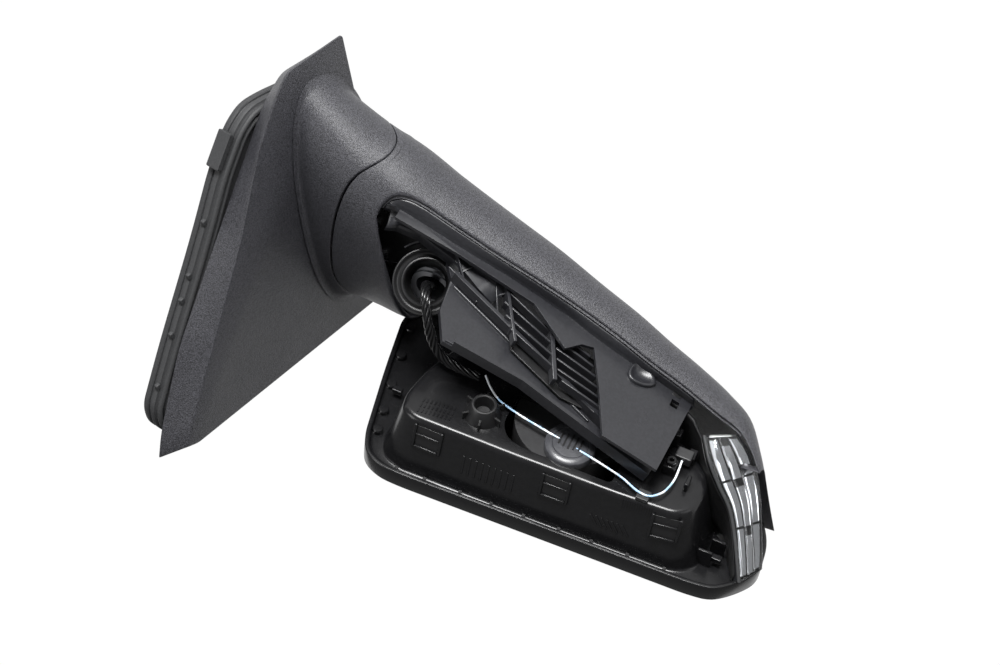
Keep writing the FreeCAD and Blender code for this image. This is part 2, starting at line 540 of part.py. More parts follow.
motors = [cyl(hp(BX + 12.0, -18.0, BZ + s * 10.0), YH, 6.5, 13.5) for s in (1, -1)]
put("adjuster_motors", solids(motors))
put("actuator_screws", solids([cyl(hp(BX + (ACT_R + 3.0) * math.cos(math.radians(a)), -6.0,
                                      BZ + (ACT_R + 3.0) * math.sin(math.radians(a))), YH, 2.6, 3.75) for a in (0, 180)]))

# adjuster rods and their nut gears
rods, gears = {}, {}
for nm, (rx, rz) in (("v", ROD_V), ("h", ROD_H)):
    rod = cyl(hp(rx, A_FRONT - 6.2, rz), YH, 2.6, 16.0)
    tip = Part.makeSphere(3.0, hp(rx, A_FRONT - 6.6, rz))
    put("adjuster_rod_" + nm, rod.fuse(tip))
    g = ring(hp(rx, -17.0, rz), YH, 6.0, 2.65, 5.0)
    teeth = []
    for k in range(14):
        a = 2 * math.pi * k / 14
        teeth.append(cyl(hp(rx + 6.0 * math.cos(a), -17.0, rz + 6.0 * math.sin(a)), YH, 0.8, 5.0))
    g = g.fuse(teeth).cut(cyl(hp(rx, -18.0, rz), YH, 2.65, 7.0))
    put("adjuster_gear_" + nm, g)

# ---- glass: gimbal cap, carrier plate, heater, glass
cap = ring(hp(BX, BY - 3.0, BZ), YH, 6.4, 4.35, 5.0).cut(cyl(hp(BX, BY, BZ - 8.0), Z, 1.25, 16.0))
cap = cap.fuse([cyl(hp(BX + 5.6, BY, BZ), XH, 1.2, 3.8), cyl(hp(BX - 9.4, BY, BZ), XH, 1.2, 3.8)])
put("gimbal_ring", cap)
GLASS = inset(BOX_F, WALL + 6.2)
gl_back = -33.2
plate_g = prism(hpoly(GLASS, gl_back), YH * 1.8)
sock = ring(hp(BX, gl_back + 1.8, BZ), YH, 9.8, 7.5, 6.7).cut(cyl(hp(BX - 12.0, BY, BZ), XH, 1.25, 24.0))
clips = []
for rx, rz in (ROD_V, ROD_H):
    clips.append(ring(hp(rx, gl_back + 1.8, rz), YH, 5.4, 4.2, 3.0))
plate_g = plate_g.fuse([sock] + clips)
ribs = prism([hp(BX + 12, gl_back + 1.8, BZ - 1), hp(BX + 60, gl_back + 1.8, BZ - 1), hp(BX + 60, gl_back + 1.8, BZ + 1),
              hp(BX + 12, gl_back + 1.8, BZ + 1)], YH * 1.5)
plate_g = plate_g.fuse(ribs)
put("glass_carrier", plate_g)
put("heater_pad", prism(hpoly(inset(GLASS, 4.0), gl_back - 0.5), YH * 0.5))
put("mirror_glass", prism(hpoly(inset(GLASS, 0.8), gl_back - 0.5 - GLASS_T), YH * GLASS_T))

# ---- cables held in the head
TOPY = V(FOLD_X, FOLD_Y, 0)
put("harness", cord(h_pts, 3.4, "harness"))
w_pts = [hp(*q) for q in ((121.5, 9.0, 41.5), (125.5, 5.5, 44.5), (131.5, 3.4, 48.2), (143.0, 2.9, 51.2), (164.0, 2.7, 55.0),
                          (186.0, 3.0, 59.4), (200.0, 2.8, 62.6), (208.5, 3.0, 66.8), (215.0, 2.8, 67.3), (220.0, 3.2, 62.5),
                          (222.3, 3.8, 54.0), (221.5, 5.0, 43.0))]
put("lamp_wire", cord([tuple(p) for p in w_pts], 0.5, "lamp_wire"))
clip = box_at(hp(209.0, 0.02, 63.8), XH, Z, YH, 6.0, 5.6, 2.2)
put("wire_clip", clip)

# ---- generic texture block and trim clips on the recess
put("cap_clips", solids([box_at(hp(x, RIM_F + 0.05, z), XH, Z, YH, 5.0, 3.0, 3.0) for x, z in
                         ((249.0, 62.0), (252.0, 50.0), (76.5, 40.0))]))

for name, shape in PARTS.items():
    ok = shape.isValid()
    vols = [round(s.Volume) for s in shape.Solids]
    bb = shape.BoundBox
    print("%-20s valid=%s solids=%s  x %.0f..%.0f y %.0f..%.0f z %.0f..%.0f" % (
        name, ok, vols, bb.XMin, bb.XMax, bb.YMin, bb.YMax, bb.ZMin, bb.ZMax))
    shape.exportStep("parts/%s.step" % name)
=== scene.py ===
import bpy
import bmesh
import json
import math
from mathutils import Vector, Matrix


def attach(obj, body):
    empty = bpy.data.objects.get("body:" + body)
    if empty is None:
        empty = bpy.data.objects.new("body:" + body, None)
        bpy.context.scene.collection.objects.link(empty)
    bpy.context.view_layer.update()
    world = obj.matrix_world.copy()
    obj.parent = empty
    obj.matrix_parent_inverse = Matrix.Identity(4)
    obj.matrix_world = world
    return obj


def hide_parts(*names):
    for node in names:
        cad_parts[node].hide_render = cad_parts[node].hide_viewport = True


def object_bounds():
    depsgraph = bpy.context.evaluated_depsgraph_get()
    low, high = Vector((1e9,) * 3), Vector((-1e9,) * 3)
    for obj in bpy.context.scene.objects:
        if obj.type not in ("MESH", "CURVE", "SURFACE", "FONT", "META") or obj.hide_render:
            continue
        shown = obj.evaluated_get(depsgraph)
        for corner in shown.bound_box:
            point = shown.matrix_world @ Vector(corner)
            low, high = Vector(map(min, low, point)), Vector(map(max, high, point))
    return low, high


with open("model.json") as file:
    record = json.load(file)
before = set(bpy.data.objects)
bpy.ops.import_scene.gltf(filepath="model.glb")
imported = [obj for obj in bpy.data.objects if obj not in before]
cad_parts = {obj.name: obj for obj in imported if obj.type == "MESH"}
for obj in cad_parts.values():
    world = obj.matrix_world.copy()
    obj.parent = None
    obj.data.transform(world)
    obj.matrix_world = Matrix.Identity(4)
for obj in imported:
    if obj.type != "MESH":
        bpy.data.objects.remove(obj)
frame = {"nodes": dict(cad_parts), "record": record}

CAD_LO, CAD_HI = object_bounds()

# ------------------------------------------------------------------ geometry
TAU, PSI = math.radians(20.0), math.radians(15.0)
N = Vector((math.cos(TAU), 0, math.sin(TAU)))
U = Vector((-math.sin(TAU), 0, math.cos(TAU)))
XH = Vector((math.cos(PSI), -math.sin(PSI), 0))
YH = Vector((math.sin(PSI), math.cos(PSI), 0))
ZV = Vector((0, 0, 1))
SHIFT = N * 10.0
NF = Vector((0.6, 1.0, 0.0)).normalized()
TF = Vector((1.0, -0.6, 0.0)).normalized()
F0 = Vector((76.0, -14.0, 0.0))


def bp(y, u, n):
    return N * n + U * u + Vector((0, y, 0))


def hp(x, y, z):
    return XH * x + YH * y + ZV * z


def fp(x, z, c):
    return Vector((x, c - 0.6 * x, z))


def R(p):
    """Design millimetres to row metres."""
    return (Vector(p) + SHIFT) / 1000.0


# ---------------------------------------------------------- material helpers
def new_mat(name):
    m = bpy.data.materials.new(name)
    m.use_nodes = True
    nt = m.node_tree
    b = nt.nodes["Principled BSDF"]
    return m, nt, b


def grain(name, color, rough, scale, strength, dist=0.0002, var=0.06, spec=0.5, coarse=0.25, coat=0.0, cvar=0.14):
    """Moulded plastic: fine grain bump, roughness and colour variation."""
    m, nt, b = new_mat(name)
    L = nt.links.new
    tc = nt.nodes.new("ShaderNodeTexCoord")
    n1 = nt.nodes.new("ShaderNodeTexNoise")
    n1.inputs["Scale"].default_value = scale
    n1.inputs["Detail"].default_value = 3.0
    n1.inputs["Roughness"].default_value = 0.6
    L(tc.outputs["Object"], n1.inputs["Vector"])
    n2 = nt.nodes.new("ShaderNodeTexNoise")
    n2.inputs["Scale"].default_value = scale * coarse
    n2.inputs["Detail"].default_value = 2.0
    L(tc.outputs["Object"], n2.inputs["Vector"])
    add = nt.nodes.new("ShaderNodeMath")
    add.operation = "MULTIPLY_ADD"
    L(n2.outputs["Fac"], add.inputs[0])
    add.inputs[1].default_value = 0.5
    L(n1.outputs["Fac"], add.inputs[2])
    bump = nt.nodes.new("ShaderNodeBump")
    bump.inputs["Strength"].default_value = strength
    bump.inputs["Distance"].default_value = dist
    L(add.outputs[0], bump.inputs["Height"])
    L(bump.outputs["Normal"], b.inputs["Normal"])
    n3 = nt.nodes.new("ShaderNodeTexNoise")
    n3.inputs["Scale"].default_value = 35.0
    n3.inputs["Detail"].default_value = 4.0
    L(tc.outputs["Object"], n3.inputs["Vector"])
    mr = nt.nodes.new("ShaderNodeMapRange")
    mr.inputs["From Min"].default_value = 0.3
    mr.inputs["From Max"].default_value = 0.7
    mr.inputs["To Min"].default_value = max(0.02, rough - var)
    mr.inputs["To Max"].default_value = min(1.0, rough + var)
    L(n3.outputs["Fac"], mr.inputs["Value"])
    L(mr.outputs["Result"], b.inputs["Roughness"])
    cr = nt.nodes.new("ShaderNodeValToRGB")
    e = cr.color_ramp.elements
    e[0].position, e[1].position = 0.38, 0.62
    e[0].color = (*[c * (1 - cvar) for c in color], 1)
    e[1].color = (*[min(1, c * (1 + cvar)) for c in color], 1)
    L(n1.outputs["Fac"], cr.inputs["Fac"])
    L(cr.outputs["Color"], b.inputs["Base Color"])
    b.inputs["Specular IOR Level"].default_value = spec
    if coat:
        b.inputs["Coat Weight"].default_value = coat
        b.inputs["Coat Roughness"].default_value = 0.06
    return m


def metal(name, color, rough, scale=90.0, aniso=0.0):
    m, nt, b = new_mat(name)
    L = nt.links.new
    tc = nt.nodes.new("ShaderNodeTexCoord")
    n1 = nt.nodes.new("ShaderNodeTexNoise")
    n1.inputs["Scale"].default_value = scale
    n1.inputs["Detail"].default_value = 6.0
    L(tc.outputs["Object"], n1.inputs["Vector"])
    mr = nt.nodes.new("ShaderNodeMapRange")
    mr.inputs["From Min"].default_value = 0.3
    mr.inputs["From Max"].default_value = 0.7
    mr.inputs["To Min"].default_value = max(0.02, rough - 0.07)
    mr.inputs["To Max"].default_value = rough + 0.09
    L(n1.outputs["Fac"], mr.inputs["Value"])
    L(mr.outputs["Result"], b.inputs["Roughness"])
    bump = nt.nodes.new("ShaderNodeBump")
    bump.inputs["Strength"].default_value = 0.12
    bump.inputs["Distance"].default_value = 0.0001
    L(n1.outputs["Fac"], bump.inputs["Height"])
    L(bump.outputs["Normal"], b.inputs["Normal"])
    b.inputs["Base Color"].default_value = (*color, 1)
    b.inputs["Metallic"].default_value = 1.0
    return m


M = {}
M["grained"] = grain("grained_black", (0.034, 0.034, 0.039), 0.43, 1700.0, 0.9, 0.0003, 0.03, 0.42, cvar=0.6)
M["satin"] = grain("satin_black", (0.016, 0.0163, 0.019), 0.32, 700.0, 0.10, 0.0001, 0.05, 0.5)
M["gloss"] = grain("gloss_black", (0.0065, 0.0065, 0.0071), 0.24, 420.0, 0.08, 0.0001, 0.05, 0.36)
M["rim"] = grain("rim_black", (0.012, 0.012, 0.0125), 0.33, 900.0, 0.12, 0.0001, 0.05, 0.5)
M["motor"] = grain("motor_black", (0.020, 0.020, 0.021), 0.45, 500.0, 0.12, 0.0001, 0.06, 0.5)
M["dark"] = grain("inner_black", (0.008, 0.008, 0.0085), 0.42, 600.0, 0.12, 0.0001, 0.06, 0.45)
M["rubber"] = grain("seal_rubber", (0.030, 0.0305, 0.032), 0.60, 1300.0, 0.25, 0.0002, 0.06, 0.4)
M["nylon"] = grain("natural_nylon", (0.62, 0.60, 0.54), 0.42, 500.0, 0.1, 0.0001, 0.06, 0.5)
M["cable"] = grain("cable_black", (0.006, 0.006, 0.0065), 0.20, 260.0, 0.12, 0.0002, 0.06, 0.5)
M["board"] = grain("circuit_board", (0.62, 0.64, 0.62), 0.4, 500.0, 0.1, 0.0001, 0.05, 0.5)
M["foil"] = grain("heater_foil", (0.20, 0.18, 0.16), 0.42, 300.0, 0.1, 0.0001, 0.05, 0.5)
M["pale"] = grain("pale_drive", (0.045, 0.046, 0.051), 0.30, 500.0, 0.1, 0.0001, 0.06, 0.5)
M["cast"] = metal("die_cast", (0.55, 0.56, 0.58), 0.42, 160.0)
M["zinc"] = metal("zinc_steel", (0.62, 0.63, 0.65), 0.28, 120.0)
M["steel"] = metal("plain_steel", (0.42, 0.43, 0.45), 0.36, 110.0)
M["chrome"] = metal("bright_reflector", (0.88, 0.89, 0.91), 0.09, 160.0)


def mirror_mat():
    m, nt, b = new_mat("silvered_glass")
    b.inputs["Base Color"].default_value = (0.86, 0.88, 0.90, 1)
    b.inputs["Metallic"].default_value = 1.0
    n = nt.nodes.new("ShaderNodeTexNoise")
    n.inputs["Scale"].default_value = 20.0
    mr = nt.nodes.new("ShaderNodeMapRange")
    mr.inputs["To Min"].default_value = 0.01
    mr.inputs["To Max"].default_value = 0.035
    nt.links.new(n.outputs["Fac"], mr.inputs["Value"])
    nt.links.new(mr.outputs["Result"], b.inputs["Roughness"])
    return m


def lens_mat():
    m, nt, b = new_mat("clear_lens")
    b.inputs["Base Color"].default_value = (0.96, 0.97, 0.98, 1)
    b.inputs["Transmission Weight"].default_value = 1.0
    b.inputs["IOR"].default_value = 1.49
    tc = nt.nodes.new("ShaderNodeTexCoord")
    n = nt.nodes.new("ShaderNodeTexNoise")
    n.inputs["Scale"].default_value = 120.0
    nt.links.new(tc.outputs["Object"], n.inputs["Vector"])
    mr = nt.nodes.new("ShaderNodeMapRange")
    mr.inputs["To Min"].default_value = 0.02
    mr.inputs["To Max"].default_value = 0.06
    nt.links.new(n.outputs["Fac"], mr.inputs["Value"])
    nt.links.new(mr.outputs["Result"], b.inputs["Roughness"])
    return m


def wire_mat():
    m, nt, b = new_mat("wire_white_blue")
    tc = nt.nodes.new("ShaderNodeTexCoord")
    n = nt.nodes.new("ShaderNodeTexNoise")
    n.inputs["Scale"].default_value = 160.0
    nt.links.new(tc.outputs["Object"], n.inputs["Vector"])
    cr = nt.nodes.new("ShaderNodeValToRGB")
    cr.color_ramp.elements[0].position = 0.46
    cr.color_ramp.elements[1].position = 0.56
    cr.color_ramp.elements[0].color = (0.82, 0.86, 0.90, 1)
    cr.color_ramp.elements[1].color = (0.36, 0.56, 0.78, 1)
    nt.links.new(n.outputs["Fac"], cr.inputs["Fac"])
    nt.links.new(cr.outputs["Color"], b.inputs["Base Color"])
    mr = nt.nodes.new("ShaderNodeMapRange")
    mr.inputs["To Min"].default_value = 0.25
    mr.inputs["To Max"].default_value = 0.45
    nt.links.new(n.outputs["Fac"], mr.inputs["Value"])
    nt.links.new(mr.outputs["Result"], b.inputs["Roughness"])
    return m


M["mirror"] = mirror_mat()
M["lens"] = lens_mat()
M["wire"] = wire_mat()

NODE_MAT = {
    "base_bracket": "cast", "mounting_studs": "zinc", "base_screws": "zinc", "base_cover": "grained",
    "base_gasket": "rubber", "gasket_clip": "rubber", "cable_grommet": "rubber", "pivot_tube": "steel",
    "detent_ring_fixed": "steel", "detent_ring_moving": "steel", "fold_spring": "steel",
    "spring_washer": "zinc", "pivot_circlip": "steel", "bezel_tray": "gloss", "lower_cover": "grained",
    "inner_panel": "satin", "cable_funnel": "satin", "louvre_panel": "satin", "carrier": "satin",
    "fold_gearbox": "motor", "fold_motor": "zinc", "gearbox_screws": "zinc", "lamp_lens": "lens",
    "lamp_reflector": "chrome", "lamp_led_board": "board", "lamp_housing": "satin",
    "lamp_connector": "motor", "actuator_housing": "motor", "actuator_cover": "motor", "ball_stud": "nylon",
    "adjuster_motors": "zinc", "actuator_screws": "zinc", "adjuster_rod_v": "nylon", "adjuster_rod_h": "nylon",
    "adjuster_gear_v": "nylon", "adjuster_gear_h": "nylon", "gimbal_ring": "nylon",
    "glass_carrier": "motor", "heater_pad": "foil", "mirror_glass": "mirror", "harness": "cable",
    "lamp_wire": "wire", "wire_clip": "motor", "cap_clips": "gloss"}
BODY = {n: b for b, ns in frame["record"]["behaviour"]["bodies"].items() for n in ns}

for node, obj in frame["nodes"].items():
    obj.data.materials.clear()
    obj.data.materials.append(M[NODE_MAT[node]])
    for p in obj.data.polygons:
        p.material_index = 0


# -------------------------------------------------------------- mesh helpers
def mesh_obj(name, verts, faces, node=None, body=None, mat=None, smooth=40.0, replaces=(), row=False):
    """Mesh from design-frame millimetres, riding on a body."""
    me = bpy.data.meshes.new(name)
    me.from_pydata([tuple(v) if row else tuple(R(v)) for v in verts], [], faces)
    me.validate()
    ob = bpy.data.objects.new(name, me)
    bpy.context.scene.collection.objects.link(ob)
    finish_mesh(ob, node, body, mat, smooth, replaces)
    return ob


def finish_mesh(ob, node, body, mat, smooth, replaces=()):
    me = ob.data
    bm = bmesh.new()
    bm.from_mesh(me)
    bmesh.ops.remove_doubles(bm, verts=bm.verts, dist=2e-6)
    bmesh.ops.recalc_face_normals(bm, faces=bm.faces)
    bm.to_mesh(me)
    bm.free()
    me.materials.clear()
    me.materials.append(M[mat])
    if smooth is not None:
        me.shade_smooth()
        me.set_sharp_from_angle(angle=math.radians(smooth))
    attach(ob, body or BODY[node])
    for n in replaces:
        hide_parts(n)


def bevel(ob, width, segs=3, angle=30.0):
    m = ob.modifiers.new("bevel", "BEVEL")
    m.width = width / 1000.0
    m.segments = segs
    m.limit_method = "ANGLE"
    m.angle_limit = math.radians(angle)
    m.harden_normals = False
    return ob


# ==== GEOMETRY START ====

# ------------------------------------------------------------ surface tables
def table(tab):
    """Smooth interpolation of rows (x, a, b, ...), straight beyond the ends."""
    xs = [r[0] for r in tab]
    n, m = len(tab), len(tab[0]) - 1

    def slope(i, k):
        if i == 0:
            return (tab[1][k] - tab[0][k]) / (xs[1] - xs[0])
        if i == n - 1:
            return (tab[-1][k] - tab[-2][k]) / (xs[-1] - xs[-2])
        a = (tab[i][k] - tab[i - 1][k]) / (xs[i] - xs[i - 1])
        b = (tab[i + 1][k] - tab[i][k]) / (xs[i + 1] - xs[i])
        return 0.5 * (a + b)

    sl = [[slope(i, k) for k in range(1, m + 1)] for i in range(n)]

    def f(x):
        if x <= xs[0]:
            return [tab[0][k + 1] + sl[0][k] * (x - xs[0]) for k in range(m)]
        if x >= xs[-1]:
            return [tab[-1][k + 1] + sl[-1][k] * (x - xs[-1]) for k in range(m)]
        i = 0
        while x > xs[i + 1]:
            i += 1
        h = xs[i + 1] - xs[i]
        t = (x - xs[i]) / h
        h00, h10 = 2 * t ** 3 - 3 * t * t + 1, t ** 3 - 2 * t * t + t
        h01, h11 = -2 * t ** 3 + 3 * t * t, t ** 3 - t * t
        return [h00 * tab[i][k + 1] + h10 * h * sl[i][k] + h01 * tab[i + 1][k + 1] + h11 * h * sl[i + 1][k] for k in range(m)]
    return f


def smoothstep(a, b, x):
    t = min(1.0, max(0.0, (x - a) / (b - a)))
    return t * t * (3 - 2 * t)


def inset(poly, d):
    n = len(poly)
    ar = sum(poly[i][0] * poly[(i + 1) % n][1] - poly[(i + 1) % n][0] * poly[i][1] for i in range(n))
    s = 1.0 if ar > 0 else -1.0
    out = []
    for i in range(n):
        p0, p1, p2 = poly[i - 1], poly[i], poly[(i + 1) % n]
        e1 = (p1[0] - p0[0], p1[1] - p0[1])
        e2 = (p2[0] - p1[0], p2[1] - p1[1])
        l1, l2 = math.hypot(*e1), math.hypot(*e2)
        n1 = (-e1[1] / l1 * s, e1[0] / l1 * s)
        n2 = (-e2[1] / l2 * s, e2[0] / l2 * s)
        k = 1.0 + n1[0] * n2[0] + n1[1] * n2[1]
        out.append((p1[0] + d * (n1[0] + n2[0]) / k, p1[1] + d * (n1[1] + n2[1]) / k))
    return out


def round_poly(poly, rad, k=6):
    """Corners of a closed polygon rounded, k points each; rad may be a list."""
    n = len(poly)
    out = []
    for i in range(n):
        r = rad[i] if isinstance(rad, (list, tuple)) else rad
        a, b, c = Vector(poly[i - 1]), Vector(poly[i]), Vector(poly[(i + 1) % n])
        d1, d2 = (a - b), (c - b)
        l1, l2 = d1.length, d2.length
        d1.normalize()
        d2.normalize()
        t = min(r, 0.45 * l1, 0.45 * l2)
        p1, p2 = b + d1 * t, b + d2 * t
        for j in range(k):
            s = j / (k - 1)
            q = p1 * (1 - s) ** 2 + b * 2 * s * (1 - s) + p2 * s * s
            out.append((q.x, q.y))
    return out


def ring_faces(rows, closed=True, flip=False):
    """Quads between consecutive rows of indices."""
    faces = []
    for a, b in zip(rows, rows[1:]):
        m = len(a)
        for i in range(m if closed else m - 1):
            j = (i + 1) % m
            q = (a[i], a[j], b[j], b[i])
            faces.append(q[::-1] if flip else q)
    return faces


class Mesh:
    def __init__(self):
        self.v, self.f = [], []

    def loop(self, pts):
        i0 = len(self.v)
        self.v += [Vector(p) for p in pts]
        return list(range(i0, i0 + len(pts)))

    def skin(self, loops, closed=True, cap0=False, cap1=False):
        rows = [self.loop(p) for p in loops]
        self.f += ring_faces(rows, closed)
        if cap0:
            self.f.append(tuple(reversed(rows[0])))
        if cap1:
            self.f.append(tuple(rows[-1]))
        return rows

    def box(self, o, a, b, c, la, lb, lc):
        """Box centred on o with full sizes la, lb, lc along a, b, c."""
        p = []
        for k in (-0.5, 0.5):
            p.append([o + a * (i * la) + b * (j * lb) + c * (k * lc)
                      for i, j in ((-0.5, -0.5), (0.5, -0.5), (0.5, 0.5), (-0.5, 0.5))])
        self.skin(p, True, True, True)

    def tube(self, path, r, seg=12, cap=True, twist=None):
        """Round tube along a list of points; r number or function of index."""
        path = [Vector(p) for p in path]
        t0 = (path[1] - path[0]).normalized()
        ref = t0.orthogonal().normalized()
        loops = []
        for i, p in enumerate(path):
            a = path[max(i - 1, 0)]
            b = path[min(i + 1, len(path) - 1)]
            t = (b - a).normalized()
            ref = (ref - t * ref.dot(t)).normalized()
            bi = t.cross(ref)
            rr = r(i) if callable(r) else r
            loops.append([p + ref * (rr * math.cos(2 * math.pi * k / seg)) + bi * (rr * math.sin(2 * math.pi * k / seg))
                          for k in range(seg)])
        self.skin(loops, True, cap, cap)
        return loops

    def lathe(self, o, axis, prof, seg=64, closed_prof=False):
        """Turned shape: prof is (radius, height) pairs along axis from o."""
        axis = axis.normalized()
        e1 = axis.orthogonal().normalized()
        e2 = axis.cross(e1)
        loops = [[o + axis * h + (e1 * math.cos(2 * math.pi * k / seg) + e2 * math.sin(2 * math.pi * k / seg)) * r
                  for k in range(seg)] for r, h in prof]
        if closed_prof:
            loops.append(loops[0])
        self.skin(loops, True, not closed_prof and prof[0][0] > 0, not closed_prof and prof[-1][0] > 0)


def build(name, mesh, node=None, body=None, mat=None, smooth=40.0, replaces=(), solid=None, out_from=None, bev=None):
    me = bpy.data.meshes.new(name)
    me.from_pydata([tuple(R(v)) for v in mesh.v], [], mesh.f)
    me.validate()
    ob = bpy.data.objects.new(name, me)
    bpy.context.scene.collection.objects.link(ob)
    finish_mesh(ob, node, body, mat, smooth, replaces)
    if out_from is not None:
        tot = 0.0
        for p in me.polygons:
            c = p.center
            ref = R(out_from(c)) if callable(out_from) else R(out_from)
            tot += p.normal.dot(c - ref) * p.area
        if tot < 0:
            me.flip_normals()
    if bev:
        bevel(ob, bev, 2)
    if solid:
        m = ob.modifiers.new("wall", "SOLIDIFY")
        m.thickness = solid / 1000.0
        m.offset = -1.0
        m.use_even_offset = True
        m.thickness_clamp = 1.0
    return ob


# --------------------------------------------------------------- base cover
OUT_LOW = [(88.0, -50.5), (92.5, -18.5), (84.5, -5.0), (67.0, 11.0), (30.0, 44.0), (-10.0, 79.5), (-48.0, 103.0),
           (-61.0, 108.5), (-63.5, 100.0), (-64.0, -47.0)]
OUT_TOP = [(100.0, -49.0), (102.5, -13.5), (92.0, -2.0), (75.0, 12.5), (31.0, 39.0), (-11.0, 69.5), (-47.0, 95.5),
           (-54.4, 98.6), (-57.0, 92.0), (-61.5, -44.8)]
NECK = [(4.0, 24.0, -21.3, 76.0, 24.5, -0.08), (16.0, 22.0, -20.8, 70.0, 25.5, -0.08), (28.0, 21.5, -16.5, 62.5, 26.5, -0.04),
        (45.0, 17.5, -12.0, 57.5, 27.5, -0.01), (60.0, 12.2, -9.5, 53.8, 28.5, 0.0), (78.0, 8.5, -8.0, 51.5, 28.5, 0.0)]
SHUT = [(33.0, -60.0), (30.2, -40.0), (27.0, -32.0), (25.5, -22.0), (25.3, -14.4), (29.0, 3.4), (33.9, 19.6), (41.1, 38.6),
        (47.4, 51.7), (51.1, 57.1), (56.0, 61.0), (64.0, 63.5), (74.0, 65.0), (88.0, 66.5)]
SIL = [(66.0, 54.0, -25.3, 24.0), (84.3, 43.0, -23.3, 24.0), (99.4, 34.0, -20.8, 23.0), (119.3, 22.0, -17.8, 22.0),
       (139.2, 10.1, -14.8, 21.0), (159.6, -2.2, -10.3, 19.5), (179.8, -14.3, -6.2, 18.5), (195.0, -23.5, -2.0, 17.5),
       (210.8, -32.9, 1.8, 16.0), (226.5, -42.3, 6.8, 13.5), (238.1, -49.3, 13.3, 10.0), (246.0, -55.5, 24.7, 7.0),
       (252.0, -60.5, 35.0, 6.0)]
NECK_F, SIL_F = table(NECK), table(SIL)
SHUT_F = table([(y, x) for x, y in SHUT])
EXPO, WALL = 2.3, 2.4


def neck_pt(x, a, off=0.0):
    cy, cz, by, bz, k = NECK_F(x)
    c, s = math.cos(a), math.sin(a)
    y = cy + (by - off) * math.copysign(abs(c) ** (2 / EXPO), c)
    return Vector((x, y, cz + (bz - off) * math.copysign(abs(s) ** (2 / EXPO), s) + k * (y - 20.0)))


def shut_at(a, off):
    lo, hi = 18.0, 80.0
    for _ in range(32):
        x = 0.5 * (lo + hi)
        if x - SHUT_F(neck_pt(x, a).y)[0] - off < 0:
            lo = x
        else:
            hi = x
    return 0.5 * (lo + hi)


def face_at(a, n=16.0):
    x = 16.0
    for _ in range(30):
        x = 0.5 * x + 0.5 * (n - 0.34202 * neck_pt(x, a).z) / 0.93969
    return x


NA = 144
angs = [2 * math.pi * i / NA for i in range(NA)]
starts = [face_at(a, 15.9) for a in angs]
ends = [shut_at(a, -0.6) for a in angs]
m = Mesh()
loops = []
NU = 30
for j in range(NU + 1):
    t = j / NU
    row = []
    for a, x0, x1 in zip(angs, starts, ends):
        x = x0 + (x1 - 0.5 - x0) * t
        s = x - x0
        fil = 3.0 - math.sqrt(max(0.0, 9.0 - (3.0 - min(s, 3.0)) ** 2)) if s < 3.0 else 0.0
        row.append(neck_pt(x, a, -fil))
    loops.append(row)
for dx, off in ((-0.32, 0.05), (-0.12, 0.22), (0.0, 0.55), (0.0, WALL), (-9.0, WALL)):
    loops.append([neck_pt(x1 + dx, a, off) for a, x1 in zip(angs, ends)])
m.skin(loops)
sr = [2.0, 4.0, 6.0, 8.0, 9.0, 9.0, 7.0, 1.2, 2.0, 2.5]
lowp, topp = round_poly(OUT_LOW, sr), round_poly(OUT_TOP, sr)
lowi, topi = round_poly(inset(OUT_LOW, WALL), [max(0.6, r - WALL) for r in sr]), round_poly(inset(OUT_TOP, WALL), [max(0.6, r - WALL) for r in sr])
top1 = round_poly(inset(OUT_TOP, 0.35), sr)
top2 = round_poly(inset(OUT_TOP, 1.1), sr)


def mixp(a, b, t):
    return [(p[0] + (q[0] - p[0]) * t, p[1] + (q[1] - p[1]) * t) for p, q in zip(a, b)]


sl = [[bp(y, u, 13.6) for y, u in topi], [bp(y, u, 3.0) for y, u in lowi], [bp(y, u, 3.0) for y, u in mixp(lowp, lowi, 0.2)],
      [bp(y, u, 3.35) for y, u in lowp]]
for t in (0.25, 0.5, 0.75, 0.93):
    sl.append([bp(y, u, 3.35 + (15.3 - 3.35) * t) for y, u in mixp(lowp, topp, t)])
sl += [[bp(y, u, 15.75) for y, u in top1], [bp(y, u, 16.0) for y, u in top2]]
m.skin(sl, True, True, True)
for y, u in ((60.0, -2.0), (-42.0, 78.0), (-48.0, -32.0)):
    m.lathe(bp(y, u, -3.9), N, [(4.5, 17.6), (4.5, 0.4), (4.1, 0.0), (2.0, 0.0), (1.65, 0.4), (1.65, 14.0)], 32)
cover = build("base_cover_shell", m, "base_cover", mat="grained", smooth=32.0, replaces=("base_cover",))

# --------------------------------------------------------------- head cover
K1, K2, K3 = 30, 26, 44


def yb(x, yh=-38.0):
    return (yh - math.sin(PSI) * x) / math.cos(PSI)


T0_F = table([(60.0, 60.0), (63.5, 58.0), (66.0, 52.0), (70.0, 43.0), (75.0, 36.0), (84.0, 30.0), (99.0, 29.0), (119.0, 28.0),
              (139.0, 25.0), (160.0, 21.0), (180.0, 20.0), (211.0, 19.0), (226.0, 22.0), (238.0, 20.0), (246.0, 8.0), (252.0, -8.0)])
A_S = math.radians(58.0)
angA = [A_S + (-math.pi / 2 - A_S) * i / (K1 - 1) for i in range(K1)] + \
       [-math.pi / 2 - (math.pi / 2) * (i + 1) / K2 for i in range(K2)]
angB = [-math.pi - (math.pi - A_S) * (i + 1) / (K3 + 1) for i in range(K3)]


def shell_pts(x):
    ys, zs, r = SIL_F(x)
    cy, cz = ys - 0.643 * r, zs + 0.766 * r
    pts = []
    for i in range(K1):
        t0 = T0_F(x)[0]
        t = math.radians(t0 - (90.0 + t0) * i / (K1 - 1))
        pts.append(Vector((x, cy + r * math.cos(t), cz + r * math.sin(t))))
    y1 = yb(x)
    for i in range(K2):
        k = (i + 1) / K2
        pts.append(Vector((x, cy + (y1 - cy) * k, cz - r - 1.5 * k * k)))
    return pts


